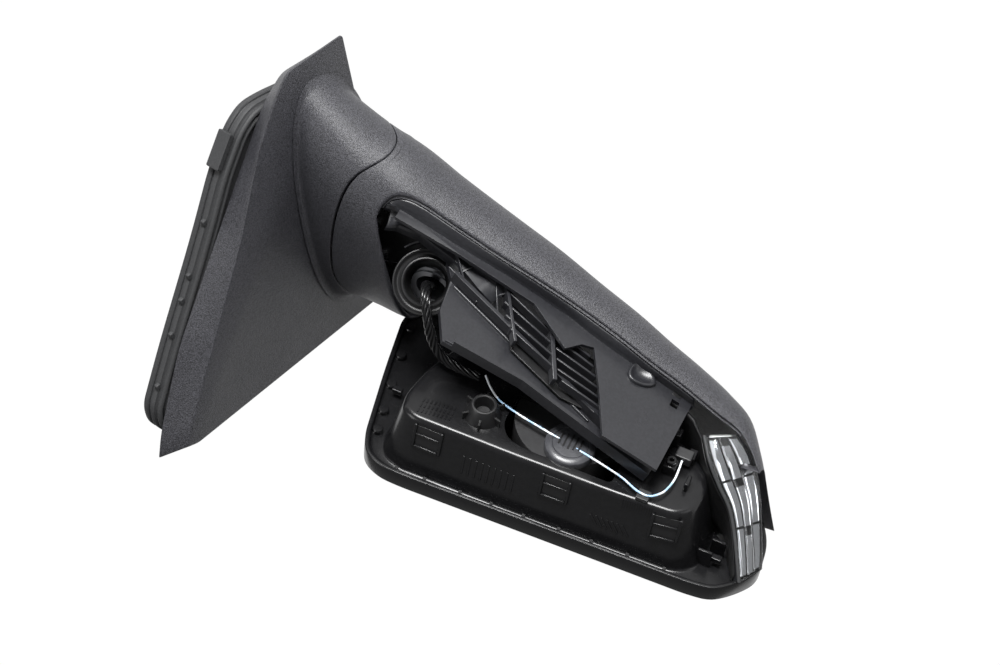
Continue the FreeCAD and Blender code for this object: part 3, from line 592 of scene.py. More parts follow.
def with_lip(row):
    """Adds the rebate for the painted cap along the front edge."""
    t = (row[0] - row[1])
    t.x = 0
    t.normalize()
    n_in = Vector((0, -t.z, t.y))
    if n_in.dot(row[K1] - row[0]) < 0 and n_in.y > 0:
        n_in = -n_in
    if n_in.y > 0:
        n_in = -n_in
    e = row[0]
    return [e + n_in * 1.5 + t * 3.4, e + n_in * 1.5 + t * 0.5, e + n_in * 1.45 + t * 0.15, e + n_in * 0.5 + t * 0.12, e + n_in * 0.12] + row


m = Mesh()
full = angA + angB
xs0 = [shut_at(a, 0.6) for a in full]
XMS = [max(63.5, x + 2.5) for x in xs0]
for _ in range(6):
    XMS = [max(x + 2.2, (XMS[i - 1] + XMS[i] * 2 + XMS[(i + 1) % len(XMS)]) / 4) for i, x in enumerate(xs0)]
XM = 63.5
rows = []
ring_rows = []
for dx, off in ((9.0, WALL), (0.0, WALL), (0.0, 0.55), (0.12, 0.22), (0.32, 0.05)):
    ring_rows.append(m.loop([neck_pt(min(x + dx, xm), a, off) for a, x, xm in zip(full, xs0, XMS)]))
NJ = 16
for j in range(NJ + 1):
    t = j / NJ
    pts = []
    for a, x, xm in zip(full, xs0, XMS):
        xx = (x + 0.5) + (xm - x - 0.5) * t
        q = neck_pt(xx, a)
        pts.append(q)
    ring_rows.append(m.loop(pts))
m.f += ring_faces(ring_rows, True)
# shell outboard of the drum; the first row is the ring's last one
KA = len(angA)


def head_pt(k, x):
    w = smoothstep(56.0, 90.0, x)
    sp = shell_pts(x)[k]
    if w >= 1.0:
        return sp
    a0 = math.radians(T0_F(x)[0])
    a = a0 + (angA[k] - A_S) * (math.pi / 2 + a0) / (math.pi / 2 + A_S) if k < K1 else angA[k]
    return neck_pt(x, a).lerp(sp, w)


xs = [XM + (252.0 - XM) * i / 96 for i in range(97)]
prev = ring_rows[-1][:KA]
for i in range(1, 97):
    cur = m.loop([head_pt(k, XMS[k] + (250.6 - XMS[k]) * i / 96) for k in range(KA)])
    m.f += ring_faces([prev, cur], False)
    prev = cur
endv = [m.v[i].copy() for i in prev]
for d in (0.6, 2.0, 5.0, 9.0):
    cur = m.loop([v - XH * d + Vector((0, 0, 0.08 * d)) for v in endv])
    m.f += ring_faces([prev, cur], False)
    prev = cur
head = build("lower_cover_shell", m, "lower_cover", mat="grained", smooth=38.0, replaces=("lower_cover",), solid=2.0,
             out_from=lambda c: Vector((c.x * 1000.0 - 9.4, 5.0 - 0.35 * (c.x * 1000.0 - 60.0), 0.0)))

# rebate that seats the painted cap: a step just inside the edge, then the smooth ledge down to the opening
OPEN = [(67.6, 48.4, 11.7), (71.6, 46.0, 10.2), (76.0, 43.4, 9.7), (92.4, 33.6, 10.1), (106.5, 25.1, 10.6), (120.4, 16.8, 10.6),
        (134.3, 8.4, 10.5), (148.6, -0.1, 11.5), (165.6, -10.3, 14.8), (187.9, -23.7, 17.4), (211.8, -38.1, 19.3), (216.0, -40.5, 20.0)]
OPEN_F = table(OPEN)
m = Mesh()
lr, lg = [], []
for i in range(110):
    x = 66.5 + (238.0 - 66.5) * i / 109
    e = head_pt(0, x)
    f = head_pt(1, x)
    back = (e - f)
    back.x = 0
    back.normalize()
    inw = Vector((0, -back.z, back.y))
    if inw.dot(Vector((0, -0.7, -0.7))) < 0:
        inw = -inw
    lr.append([e + inw * 0.25 - back * 0.3, e + inw * 0.9 - back * 0.1, e + inw * 1.5 + back * 0.1, e + inw * 1.6 + back * 0.7,
               e + inw * 1.65 + back * 1.3, e + inw * 2.6 + back * 1.6, e + inw * 3.6 + back * 1.5])
    xo = min(x + 2.0, 214.0)
    yo, zo = OPEN_F(xo)
    o = Vector((xo, yo, zo))
    e2 = e + inw * 3.4 + back * 1.3
    if x < 215.0:
        mid = e2.lerp(o, 0.5) + NF * 0.6
        lg.append([e2, e2.lerp(mid, 0.5) + NF * 0.15, mid, mid.lerp(o, 0.5) + NF * 0.1, o, o - NF * 0.35 + ZV * 0.3, o - NF * 1.2 + ZV * 0.35, o - NF * 4.0])
m.skin(lr, False)
lip = build("cap_rebate", m, "lower_cover", mat="grained", smooth=35.0)
m = Mesh()
m.skin(lg, False)
ledge = build("inner_ledge", m, "inner_panel", mat="satin", smooth=40.0, solid=0.8)


# -------------------------------------------------------------- bezel tray
RIM = [(62.5, 0.0), (67.5, 31.0), (75.0, 70.0), (79.5, 80.0), (89.0, 84.5), (100.0, 85.0), (150.0, 83.5), (200.0, 82.0),
       (244.0, 80.8), (256.0, 79.2), (265.0, 71.0), (272.0, 61.0), (270.5, 44.0), (263.0, 30.0), (248.0, 20.5),
       (225.0, 10.5), (194.0, 0.5), (152.0, -8.5), (112.0, -14.5), (84.0, -16.0), (70.0, -13.5), (64.0, -8.0)]
BOX_F = [(83.5, 66.0), (87.0, 76.5), (96.0, 80.0), (150.0, 79.0), (200.0, 77.5), (236.0, 76.5), (245.0, 70.0),
         (246.5, 52.0), (243.0, 38.0), (230.0, 26.0), (200.0, 12.0), (156.0, 1.0), (126.0, -4.0), (108.0, 0.0),
         (94.0, 16.0), (86.0, 40.0)]
BOX_T = [(90.5, 60.0), (92.5, 69.5), (99.0, 72.8), (150.0, 72.3), (200.0, 71.0), (229.0, 69.0), (236.0, 62.5),
         (237.0, 51.0), (234.0, 41.0), (223.0, 32.0), (196.0, 19.0), (156.0, 8.5), (130.0, 4.0), (114.0, 8.0),
         (102.0, 22.0), (94.0, 42.0)]
HUB_X, HUB_Z, NR = 165.0, 38.0, 288


def ray_loop(poly, rad):
    """Rounded polygon sampled on NR rays from the middle of the tray."""
    pts = round_poly(poly, rad, 8)
    out = []
    for i in range(NR):
        a = 2 * math.pi * i / NR
        # rays bunch towards the ends of the long shape
        dx, dz = math.cos(a) * 2.0, math.sin(a)
        best = None
        for p, q in zip(pts, pts[1:] + pts[:1]):
            ex, ez = q[0] - p[0], q[1] - p[1]
            den = dx * ez - dz * ex
            if abs(den) < 1e-9:
                continue
            t = ((p[0] - HUB_X) * ez - (p[1] - HUB_Z) * ex) / den
            s = ((p[0] - HUB_X) * dz - (p[1] - HUB_Z) * dx) / den
            if t > 0 and -1e-6 <= s <= 1 + 1e-6 and (best is None or t > best):
                best = t
        out.append((HUB_X + dx * best, HUB_Z + dz * best))
    return out


def off_loop(lp, d):
    """Loop moved inwards by d along its own normals."""
    n = len(lp)
    out = []
    for i in range(n):
        ax, az = lp[(i + 2) % n][0] - lp[i - 2][0], lp[(i + 2) % n][1] - lp[i - 2][1]
        l = math.hypot(ax, az)
        out.append((lp[i][0] - az / l * d, lp[i][1] + ax / l * d))
    return out


def lay(lp, y):
    return [hp(x, y, z) for x, z in lp]


rim_l, bf_l, bt_l = ray_loop(RIM, 9.0), ray_loop(BOX_F, 7.0), ray_loop(BOX_T, 6.0)
m = Mesh()
front = []
for d, y in ((2.4, -35.5), (2.4, -39.5), (2.1, -39.9), (1.6, -40.0), (0.6, -40.0), (0.15, -39.8), (0.0, -39.4), (0.0, -34.0),
             (0.0, -30.9), (0.12, -30.45), (0.45, -30.12), (0.95, -30.0), (1.5, -30.0), (2.0, -30.12), (2.3, -30.45), (2.4, -30.9),
             (2.4, -32.0), (2.6, -32.6), (3.2, -32.95), (4.0, -33.0)):
    front.append(lay(off_loop(rim_l, d), y))


def wall_loop(y, d=0.0):
    t = (y + 35.5) / 35.5
    a, b = off_loop(bf_l, d), off_loop(bt_l, d)
    return [(p[0] + (q[0] - p[0]) * t, p[1] + (q[1] - p[1]) * t) for p, q in zip(a, b)]


for d, y in ((-1.4, -33.0), (-0.7, -32.85), (-0.2, -32.4), (0.0, -31.6)):
    front.append(lay(wall_loop(y, d), y))
for k in range(1, 9):
    y = -31.6 + 29.0 * k / 8
    front.append(lay(wall_loop(y), y))
for a in (12, 24, 36, 48, 60, 75, 90):
    s, c = math.sin(math.radians(a)), math.cos(math.radians(a))
    front.append(lay(wall_loop(-2.6 + 2.6 * s, 2.6 * (1 - c)), -2.6 + 2.6 * s))
rows = m.skin(front)
back = []
for d, y in ((2.4, -35.5), (4.4, -35.5)):
    back.append(lay(off_loop(rim_l, d), y))
back.append(lay(wall_loop(-35.5, 2.2), -35.5))
for k in range(1, 7):
    y = -35.5 + 33.3 * k / 6
    back.append(lay(wall_loop(y, 2.2), y))
rows_b = m.skin(back)
m.f[-len(back) * NR + NR:] = [f[::-1] for f in m.f[-len(back) * NR + NR:]]
hole = [(138.0, 38.0), (138.0, 57.0), (143.0, 64.0), (152.0, 66.0), (196.0, 66.0), (196.0, 38.0)]
hole = round_poly(hole, [3.0, 6.0, 6.0, 5.0, 3.0, 3.0], 6)


def cap_fill(mm, outer_idx, inner_pts, y):
    """Flat plate between a loop already in the mesh and a hole."""
    bm = bmesh.new()
    ov = [bm.verts.new(mm.v[i]) for i in outer_idx]
    iv = [bm.verts.new(hp(x, y, z)) for x, z in inner_pts]
    oe = [bm.edges.new((ov[i], ov[(i + 1) % len(ov)])) for i in range(len(ov))]
    ie = [bm.edges.new((iv[i], iv[(i + 1) % len(iv)])) for i in range(len(iv))]
    bm.verts.index_update()
    bmesh.ops.triangle_fill(bm, use_beauty=True, use_dissolve=False, edges=oe + ie)
    bm.verts.index_update()
    base_i = len(mm.v)
    n0 = len(ov)
    mm.v += [hp(x, y, z) for x, z in inner_pts]
    conv = {v.index: (outer_idx[v.index] if v.index < n0 else base_i + v.index - n0) for v in bm.verts}
    for f in bm.faces:
        mm.f.append(tuple(conv[v.index] for v in f.verts))
    bm.free()
    return list(range(base_i, base_i + len(inner_pts)))


h0 = cap_fill(m, rows[-1], hole, 0.0)
h1 = cap_fill(m, rows_b[-1], hole, -2.2)
m.f += ring_faces([h0, h1])


def rim_station(x, side):
    """Point and inward direction on the rim's inner face at head x, side +1 top, -1 bottom."""
    best = min(range(NR), key=lambda i: abs(rim_l[i][0] - x) + (0 if (rim_l[i][1] - HUB_Z) * side > 0 else 1e6))
    p = off_loop(rim_l, 2.4)[best]
    q = off_loop(rim_l, 5.4)[best]
    d = Vector((q[0] - p[0], 0, q[1] - p[1])).normalized()
    return p, XH * d.x + ZV * d.z


# ribs that stiffen the rim, and half-round bosses on the flange's inboard side
for x in (97.0, 112.0, 128.0, 145.0, 162.0, 179.0, 196.0, 213.0, 230.0, 245.0):
    p, dv = rim_station(x, 1)
    o = hp(p[0], -31.9, p[1])
    tv = YH.cross(dv).normalized()
    m.box(o + dv * 0.7, dv, tv, YH, 2.0, 1.5, 2.6)
for z in (66.0, 54.0, 38.0, 20.0, 2.0):
    k = min(range(NR), key=lambda i: abs(rim_l[i][1] - z) + (0 if rim_l[i][0] < HUB_X - 60 else 1e6))
    p = off_loop(rim_l, 5.2)[k]
    m.lathe(hp(p[0], -33.2, p[1]), YH, [(2.6, 0.0), (2.6, 2.2), (2.2, 2.7), (0.0, 2.8)], 24)
tray = build("bezel_tray_moulding", m, "bezel_tray", mat="gloss", smooth=28.0, replaces=("bezel_tray",))

# raised frames of the latch windows on the box's upper face and a plain ribbed field
m = Mesh()


def top_face(x, s):
    """Point on the upper wall of the box at head x, s from foot 0 to top edge 1, and its frame."""
    y = -33.0 + 32.0 * s
    lp = wall_loop(y)
    k = min(range(NR), key=lambda i: abs(lp[i][0] - x) + (0 if lp[i][1] > HUB_Z + 10 else 1e6))
    p = lp[k]
    lq = wall_loop(y + 4.0)
    q = min(lq, key=lambda t: abs(t[0] - x) + (0 if t[1] > HUB_Z + 10 else 1e6))
    o = hp(x, y, p[1])
    up = (hp(x, y + 4.0, q[1]) - o).normalized()
    tx = (hp(lp[(k - 3) % NR][0], y, lp[(k - 3) % NR][1]) - hp(lp[(k + 3) % NR][0], y, lp[(k + 3) % NR][1])).normalized()
    if tx.dot(XH) < 0:
        tx = -tx
    nv = tx.cross(up).normalized()
    if nv.z < 0:
        nv = -nv
    return o, tx, up, nv


for x in (108.0, 172.0, 226.0):
    o, tx, up, nv = top_face(x, 0.73)
    for sx, sy, lx, ly in ((-6.6, 0, 1.5, 14.0), (6.6, 0, 1.5, 14.0), (0, -6.3, 11.8, 1.4), (0, 1.5, 11.8, 0.9)):
        m.box(o + tx * sx + up * sy + nv * 0.25, tx, up, nv, lx, ly, 1.7)
frames = build("latch_window_frames", m, "bezel_tray", mat="gloss", smooth=30.0, bev=0.35)
m = Mesh()
for x in (108.0, 172.0, 226.0):
    o, tx, up, nv = top_face(x, 0.73)
    m.box(o + nv * -0.1, tx, up, nv, 11.8, 12.4, 0.5)
build("latch_window_recess", m, "bezel_tray", mat="dark", smooth=30.0, bev=0.12)
m = Mesh()
for k in range(9):
    o, tx, up, nv = top_face(127.0 + 3.1 * k, 0.52)
    m.box(o + nv * 0.12, tx, up, nv, 1.1, 11.0, 0.5)
for k in range(7):
    o, tx, up, nv = top_face(193.0 + 2.6 * k, 0.42)
    m.box(o + nv * 0.12, (tx + up * 0.7).normalized(), (up - tx * 0.7).normalized(), nv, 0.9, 7.0, 0.5)
build("box_rib_field", m, "bezel_tray", mat="gloss", smooth=30.0, bev=0.15)

# ----------------------------------------------------------------- funnel
MOUTH = Vector((85.6, 10.0, 20.8))
FA = Vector((0.33, 0.74, 0.585)).normalized()
m = Mesh()
prof = [(8.3, -15.9), (12.4, -15.9), (13.0, -13.0), (14.4, -7.0), (15.4, -2.2), (15.9, -1.1), (15.95, -0.5), (15.7, -0.1),
        (15.2, 0.0), (14.8, -0.3), (14.5, -1.0), (13.9, -2.0), (13.2, -2.3), (12.5, -1.9), (12.0, -1.0), (11.6, -0.5), (11.1, -0.4),
        (10.6, -0.8), (10.2, -1.9), (9.9, -3.6), (9.7, -6.5), (9.4, -12.0)]
m.lathe(MOUTH, FA, prof, 96, True)
build("cable_funnel_turned", m, "cable_funnel", mat="rim", smooth=30.0, replaces=("cable_funnel",))

# guard wall standing round the outer side of the funnel
m = Mesh()
gr = (Vector((0.9074, -0.1522, -0.3922)) - FA * FA.dot(Vector((0.9074, -0.1522, -0.3922)))).normalized()
gu = FA.cross(gr)
if gu.dot(Vector((-0.187, 0.689, -0.70))) < 0:
    gu = -gu
gl_ = []
for k in range(41):
    a = math.radians(-28.0 + 150.0 * k / 40)
    e = gr * math.cos(a) + gu * math.sin(a)
    hgt = 3.0 + 2.5 * math.sin(math.pi * k / 40)
    o = MOUTH + e * 18.6
    gl_.append([o - FA * 7.0, o + FA * (hgt - 3.6), o + e * 0.2 + FA * (hgt - 3.3), o + e * 0.9 + FA * (hgt - 3.3), o + e * 1.1 + FA * (hgt - 3.6),
                o + e * 1.1 - FA * 7.0])
m.skin(gl_, True, True, True)
build("funnel_guard", m, "carrier", mat="satin", smooth=35.0)

# ---------------------------------------------------------------- harness
H_PTS = [Vector(p) for p in ((76.0, -14.0, -19.0), (76.0, -14.0, 0.5), (79.8, -4.5, 10.8), (87.5, 12.5, 25.0), (92.0, 14.0, 34.0),
                             (93.5, 3.0, 39.0), (93.5, -9.0, 39.5), (96.5, -18.0, 40.0), (105.0, -23.5, 40.3), (115.5, -27.2, 40.0))]


def round_path(pts, step=0.6):
    """Polyline with its corners rounded, sampled evenly."""
    q = []
    for i, b in enumerate(pts):
        if i in (0, len(pts) - 1):
            q.append(b)
            continue
        a, c = pts[i - 1], pts[i + 1]
        d1, d2 = a - b, c - b
        t = 0.48 * min(d1.length, d2.length)
        p1, p2 = b + d1.normalized() * t, b + d2.normalized() * t
        for j in range(9):
            s = j / 8
            q.append(p1 * (1 - s) ** 2 + b * 2 * s * (1 - s) + p2 * s * s)
    out, carry = [q[0]], 0.0
    for a, b in zip(q, q[1:]):
        l = (b - a).length
        if l < 1e-6:
            continue
        d = carry
        while d + step <= l:
            d += step
            out.append(a.lerp(b, d / l))
        carry = d - l
    return out


core = round_path(H_PTS)
fr = []
ref = (core[1] - core[0]).orthogonal().normalized()
for i, p in enumerate(core):
    t = (core[min(i + 1, len(core) - 1)] - core[max(i - 1, 0)]).normalized()
    ref = (ref - t * ref.dot(t)).normalized()
    fr.append((p, ref.copy(), t.cross(ref)))
m = Mesh()
for k in range(6):
    ph = 2 * math.pi * k / 6
    path = []
    for i, (p, e1, e2) in enumerate(fr):
        a = ph + 2 * math.pi * i * 0.6 / 26.0
        wob = 1.55 + 0.10 * math.sin(i * 0.09 + k * 2.1)
        path.append(p + e1 * (wob * math.cos(a)) + e2 * (wob * math.sin(a)))
    m.tube(path, 0.84, 12)
m.tube([p for p, a, b in fr], 1.0, 10)
build("harness_wires", m, "harness", mat="cable", smooth=50.0, replaces=("harness",))

# ------------------------------------------------------------------- lamp
LO = [(236.5, -48.0, 24.0), (243.5, -54.0, 27.5), (248.5, -61.0, 34.0), (252.0, -68.0, 41.5), (254.5, -77.0, 49.0),
      (256.5, -87.0, 55.5), (257.5, -95.5, 61.0)]
LI = [(222.5, -45.5, 31.0), (228.0, -52.0, 40.0), (233.5, -61.0, 45.5), (239.5, -69.5, 50.5), (243.5, -78.0, 57.0),
      (247.5, -88.0, 66.0), (250.0, -95.0, 72.0)]
LO_F = table([(i,) + p for i, p in enumerate(LO)])
LI_F = table([(i,) + p for i, p in enumerate(LI)])


def lamp_pt(s, k, t):
    """s along the lamp 0..6, k from its inner edge to its outer one, t deep behind the face."""
    s = min(max(s, 0.0), 6.0)
    o, n_ = Vector(LO_F(s)), Vector(LI_F(s))
    s0, s1 = max(s - 0.6, 0.0), min(s + 0.6, 6.0)
    tan = (Vector(LO_F(s1)) + Vector(LI_F(s1))) - (Vector(LO_F(s0)) + Vector(LI_F(s0)))
    w = o - n_
    nr = tan.cross(w).normalized()
    if nr.dot(Vector((0.6, 0.5, 0.6))) < 0:
        nr = -nr
    return n_ + w * k - nr * t


def lamp_band(mm, s0, s1, k0, k1, t0, t1, dome=0.0, n=40, rnd=0.0):
    """Solid strip of the lamp with domed front and eased edges."""
    ks = [0.0, 0.03, 0.08, 0.16, 0.3, 0.5, 0.7, 0.84, 0.92, 0.97, 1.0]
    loops = []
    for i in range(n + 1):
        s = s0 + (s1 - s0) * i / n
        row = []
        for q in ks:
            k = k0 + (k1 - k0) * q
            e = (2 * q - 1) ** 2
            edge = rnd * (abs(2 * q - 1) ** 8)
            row.append(lamp_pt(s, k, t0 + dome * e + edge))
        for q in reversed(ks):
            k = k0 + (k1 - k0) * q
            row.append(lamp_pt(s, k, t1))
        loops.append(row)
    mm.skin(loops, True, True, True)


m = Mesh()
lamp_band(m, 0.0, 6.0, 0.0, 1.0, 0.0, 2.2, 0.5, 60, 0.7)
build("lamp_lens_clear", m, "lamp_lens", mat="lens", smooth=40.0, replaces=("lamp_lens",))
m = Mesh()
for a, b in ((0.2, 1.9), (2.0, 3.9), (4.0, 5.85)):
    lamp_band(m, a, b, 0.12, 0.34, 2.7, 3.5, -0.4, 16)
    lamp_band(m, a + 0.3, b + 0.05, 0.38, 0.60, 2.4, 3.5, -0.3, 16)
    lamp_band(m, a, b, 0.66, 0.88, 2.9, 3.5, -0.4, 16)
build("lamp_reflector_strips", m, "lamp_reflector", mat="chrome", smooth=35.0, replaces=("lamp_reflector",))
m = Mesh()
lamp_band(m, 0.05, 5.95, 0.09, 0.91, 3.7, 4.2, 0.0, 40)
build("lamp_reflector_carrier", m, "lamp_reflector", mat="dark", smooth=35.0)
# dark seal along the lamp's inner edge, and the fluting of the lens
m = Mesh()
m.tube([lamp_pt(0.1 * k, 0.0, 0.9) for k in range(0, 61)], 0.9, 10)
build("lamp_seal", m, "lamp_housing", mat="rubber", smooth=50.0)
m = Mesh()
for q in (0.40, 0.63):
    m.tube([lamp_pt(0.15 + 0.1 * k, q, 0.35) for k in range(0, 58)], 0.42, 8)
build("lamp_lens_flutes", m, "lamp_lens", mat="lens", smooth=50.0)

# ------------------------------------------------------------ inner panel
C_P = 89.0
NFU = NF


def on_p(x, z, d):
    return fp(x, z, C_P) + NFU * d


out_p = [(166.5, 18.0), (213.0, 20.0), (212.0, 62.5), (187.0, 61.5), (176.5, 38.0)]

# curtain between the lamp, the outer plate and the tray
m = Mesh()
path = [Vector((204.0, -36.2, 21.5)), Vector((210.0, -39.8, 22.0)), Vector((216.0, -42.6, 25.0))]
path += [lamp_pt(0.25 * k, -0.02, 4.5) for k in range(0, 24)]
rows_w = []
for i, p in enumerate(path):
    yh = p.dot(YH)
    low = (-24.0 if i < 3 else -14.0) if i < 9 else -14.0 - 18.3 * min(1.0, (i - 8) / 4.0)
    rows_w.append([p + (YH * (low - yh)) * t for t in (0.0, 0.04, 0.12, 0.35, 0.65, 1.0)])
m.skin(rows_w, False)
build("lamp_side_wall", m, "lamp_housing", mat="dark", smooth=40.0, solid=1.4)
m = Mesh()
for x, z, lx, lz, h, y0 in ((213.0, 31.0, 7.0, 5.0, 9.0, 0.2), (217.5, 47.0, 6.0, 6.0, 6.0, 0.2), (224.5, 37.0, 4.0, 6.0, 5.0, 0.2),
                            (206.0, 41.0, 2.0, 8.0, 7.0, 0.2), (228.0, 52.0, 2.0, 6.0, 5.0, 0.2)):
    m.box(hp(x, y0 + h / 2, z), XH, YH, ZV, lx, h, lz)
build("tray_posts", m, "bezel_tray", mat="gloss", smooth=30.0, bev=0.5)
m = Mesh()
for x, z, r0, r1, h in ((217.5, 47.0, 2.4, 1.1, 8.5), (213.0, 31.0, 1.8, 0.8, 11.0), (129.0, 22.0, 4.2, 1.8, 5.0), (140.0, 15.5, 3.0, 1.2, 4.0)):
    m.lathe(hp(x, 0.1, z), YH, [(r0, 0.0), (r0, h - 0.3), (r0 - 0.3, h), (r1 + 0.2, h), (r1, h - 0.3), (r1, h - 2.5)], 32)
build("tray_bosses", m, "bezel_tray", mat="gloss", smooth=30.0)
# cone of the glass drive's fixing and the fine texture beside it
m = Mesh()
m.lathe(hp(127.5, 0.05, 56.5), YH, [(8.8, 0.0), (8.6, 0.8), (7.2, 4.6), (6.2, 7.4), (5.8, 7.9), (5.1, 8.0), (4.6, 7.7), (4.4, 7.0), (3.6, 1.5)], 48)
for k in range(6):
    a = math.radians(60 * k + 20)
    e = XH * math.cos(a) + ZV * math.sin(a)
    m.box(hp(127.5, 2.3, 56.5) + e * 8.6, e, YH.cross(e), YH, 3.4, 0.9, 4.4)
build("drive_cone", m, "bezel_tray", mat="dark", smooth=35.0)
m = Mesh()
for k in range(9):
    for j in range(3):
        m.box(hp(99.5 + 1.9 * k, 0.1, 61.5 + 3.2 * j - 0.25 * k), XH, YH, ZV, 0.7, 0.55, 2.1)
build("box_top_texture", m, "bezel_tray", mat="gloss", smooth=30.0)
m = Mesh()
for k in range(13):
    o, tx, up, nv = top_face(204.0 + 1.15 * k, 0.93)
    m.box(o + nv * 0.12, tx, up, nv, 0.45, 5.0, 0.5)
build("box_edge_hatch", m, "bezel_tray", mat="gloss", smooth=30.0)

# domed end of the glass drive seen through the arched hole
m = Mesh()
dc = hp(171.0, 0.0, 55.0)
m.lathe(dc, YH, [(12.2, -2.0), (12.2, 1.2), (11.9, 1.9), (11.2, 2.4), (9.4, 2.9), (8.9, 2.9), (8.7, 2.6), (8.5, 2.9), (5.0, 3.3), (0.0, 3.5)], 64)
build("drive_end_cap", m, "actuator_housing", mat="pale", smooth=30.0)
# dark bars on the domed cap: painted shade standing in for the slits in it
m = Mesh()
for k in range(5):
    m.box(dc + XH * (-5.0 + 2.5 * k) + YH * 3.2, XH, YH, ZV, 0.9, 0.7, 9.0 - 1.3 * abs(k - 2))
build("drive_end_slit_shade", m, "actuator_housing", mat="dark", smooth=30.0)

# stiffening ribs between the lamp side and the box
m = Mesh()
for x, z in ((246.0, 66.0), (250.0, 58.0), (252.5, 49.0), (250.0, 39.0)):
    m.box(hp(x, -27.5, z), XH, YH, ZV, 7.0, 11.0, 1.4)
build("tray_end_ribs", m, "bezel_tray", mat="gloss", smooth=30.0, bev=0.3)

# ---------------------------------------------- faceted web behind the opening
m = Mesh()
WEB = [(69.0, 43.6, 8.9), (74.2, 40.5, 7.6), (83.2, 35.1, 7.3), (90.7, 30.6, 7.5), (101.0, 24.4, 7.9), (109.4, 19.3, 7.9),
       (118.7, 13.8, 7.9), (128.0, 8.2, 7.9)]
LOWW = [(68.9, 38.7, 15.4), (73.0, 36.2, 12.4), (82.4, 30.6, 10.5), (89.6, 26.2, 12.0), (97.9, 21.3, 13.2), (104.5, 17.3, 15.9),
        (112.0, 12.8, 20.0), (120.4, 7.8, 23.5)]
ra, rb, rc = [], [], []
for i in range(len(WEB)):
    a, b = Vector(WEB[i]), Vector(LOWW[i])
    ra.append(a + ZV * 1.0)
    rb.append(a.lerp(b, 0.5) - NF * (1.8 if i % 2 else 0.2))
    rc.append(b)
m.skin([ra, rb, rc, [p - NF * 5.0 + ZV * 0.5 for p in rc]], False)
build("drum_web", m, "inner_panel", mat="satin", smooth=14.0, solid=0.8)
m = Mesh()
for a, b in (((98.0, 26.0, 8.6), (107.0, 14.5, 22.0)), ((110.0, 17.0, 9.0), (101.0, 17.0, 20.0)), ((117.0, 13.0, 9.5), (124.0, 2.5, 27.5)),
             ((127.0, 6.0, 12.0), (113.0, 8.5, 25.5))):
    a, b = Vector(a), Vector(b)
    d = (b - a).normalized()
    w = d.cross(NF).normalized()
    m.box((a + b) / 2 - NF * 0.6, d, w, d.cross(w), (b - a).length, 0.9, 2.6)
build("drum_web_ribs", m, "inner_panel", mat="satin", smooth=30.0, bev=0.25)

# slatted grille between the arm and the outer plate
SLATS = [((125.0, 9.0, 14.9), (148.9, -5.4, 22.8)), ((126.1, 8.3, 21.2), (151.0, -6.6, 28.2)), ((129.0, 6.6, 27.4), (153.1, -7.9, 33.7)),
         ((133.4, 4.0, 32.8), (155.2, -9.1, 39.1)), ((150.5, -6.3, 20.1), (166.6, -16.0, 23.1)),
         ((150.5, -6.3, 24.1), (169.6, -17.8, 27.1)), ((152.8, -7.7, 29.0), (172.6, -19.6, 31.5)), ((155.0, -9.0, 34.0), (175.3, -21.2, 36.3)),
         ((157.3, -10.4, 38.9), (177.9, -22.7, 40.9)), ((160.8, -12.5, 43.3), (179.9, -23.9, 45.3))]
m = Mesh()
for a, b in SLATS:
    a, b = Vector(a), Vector(b)
    d = (b - a).normalized()
    w = d.cross(NF).normalized()
    m.box((a + b) / 2 - NF * 2.6, d, w, NF, (b - a).length, 1.15, 5.2)
for a, b, t in (((147.2, -4.0, 19.5), (158.6, -10.7, 45.5), 2.2), ((123.5, 9.9, 12.0), (137.5, 1.5, 38.0), 1.6)):
    a, b = Vector(a), Vector(b)
    d = (b - a).normalized()
    w = d.cross(NF).normalized()
    m.box((a + b) / 2 - NF * 2.4, d, w, NF, (b - a).length, t, 5.6)
build("grille_slats", m, "louvre_panel", mat="satin", smooth=30.0, replaces=("louvre_panel",), bev=0.3)
m = Mesh()
bk = [fp(122.0, 12.5, 84.0 - 8.5), fp(170.0, 19.0, 84.0 - 8.5), fp(186.0, 44.0, 84.0 - 8.5), fp(160.0, 47.0, 84.0 - 8.5), fp(134.0, 38.0, 84.0 - 8.5)]
m.skin([bk, [p - NF * 1.2 for p in bk]], True, True, True)
build("grille_back", m, "louvre_panel", mat="dark", smooth=30.0, bev=0.3)

# beads along the arm's edges and a fold across its face
m = Mesh()
for pts, c, r in (([(98.6, 18.5), (124.6, 27.5), (151.6, 37.4), (179.5, 48.3)], 80.0, 0.55), ([(101.5, 22.5), (126.0, 31.2), (151.6, 41.0), (176.0, 50.0)], 73.4, 0.8),
                  ([(109.0, 51.2), (124.8, 50.4), (143.0, 49.9), (158.7, 52.2), (203.0, 58.6)], 73.3, 0.7)):
    q = []
    for (x0, z0), (x1, z1) in zip(pts, pts[1:]):
        for k in range(10):
            q.append(fp(x0 + (x1 - x0) * k / 10, z0 + (z1 - z0) * k / 10, c))
    m.tube(q, r, 10)
build("carrier_beads", m, "carrier", mat="satin", smooth=50.0)

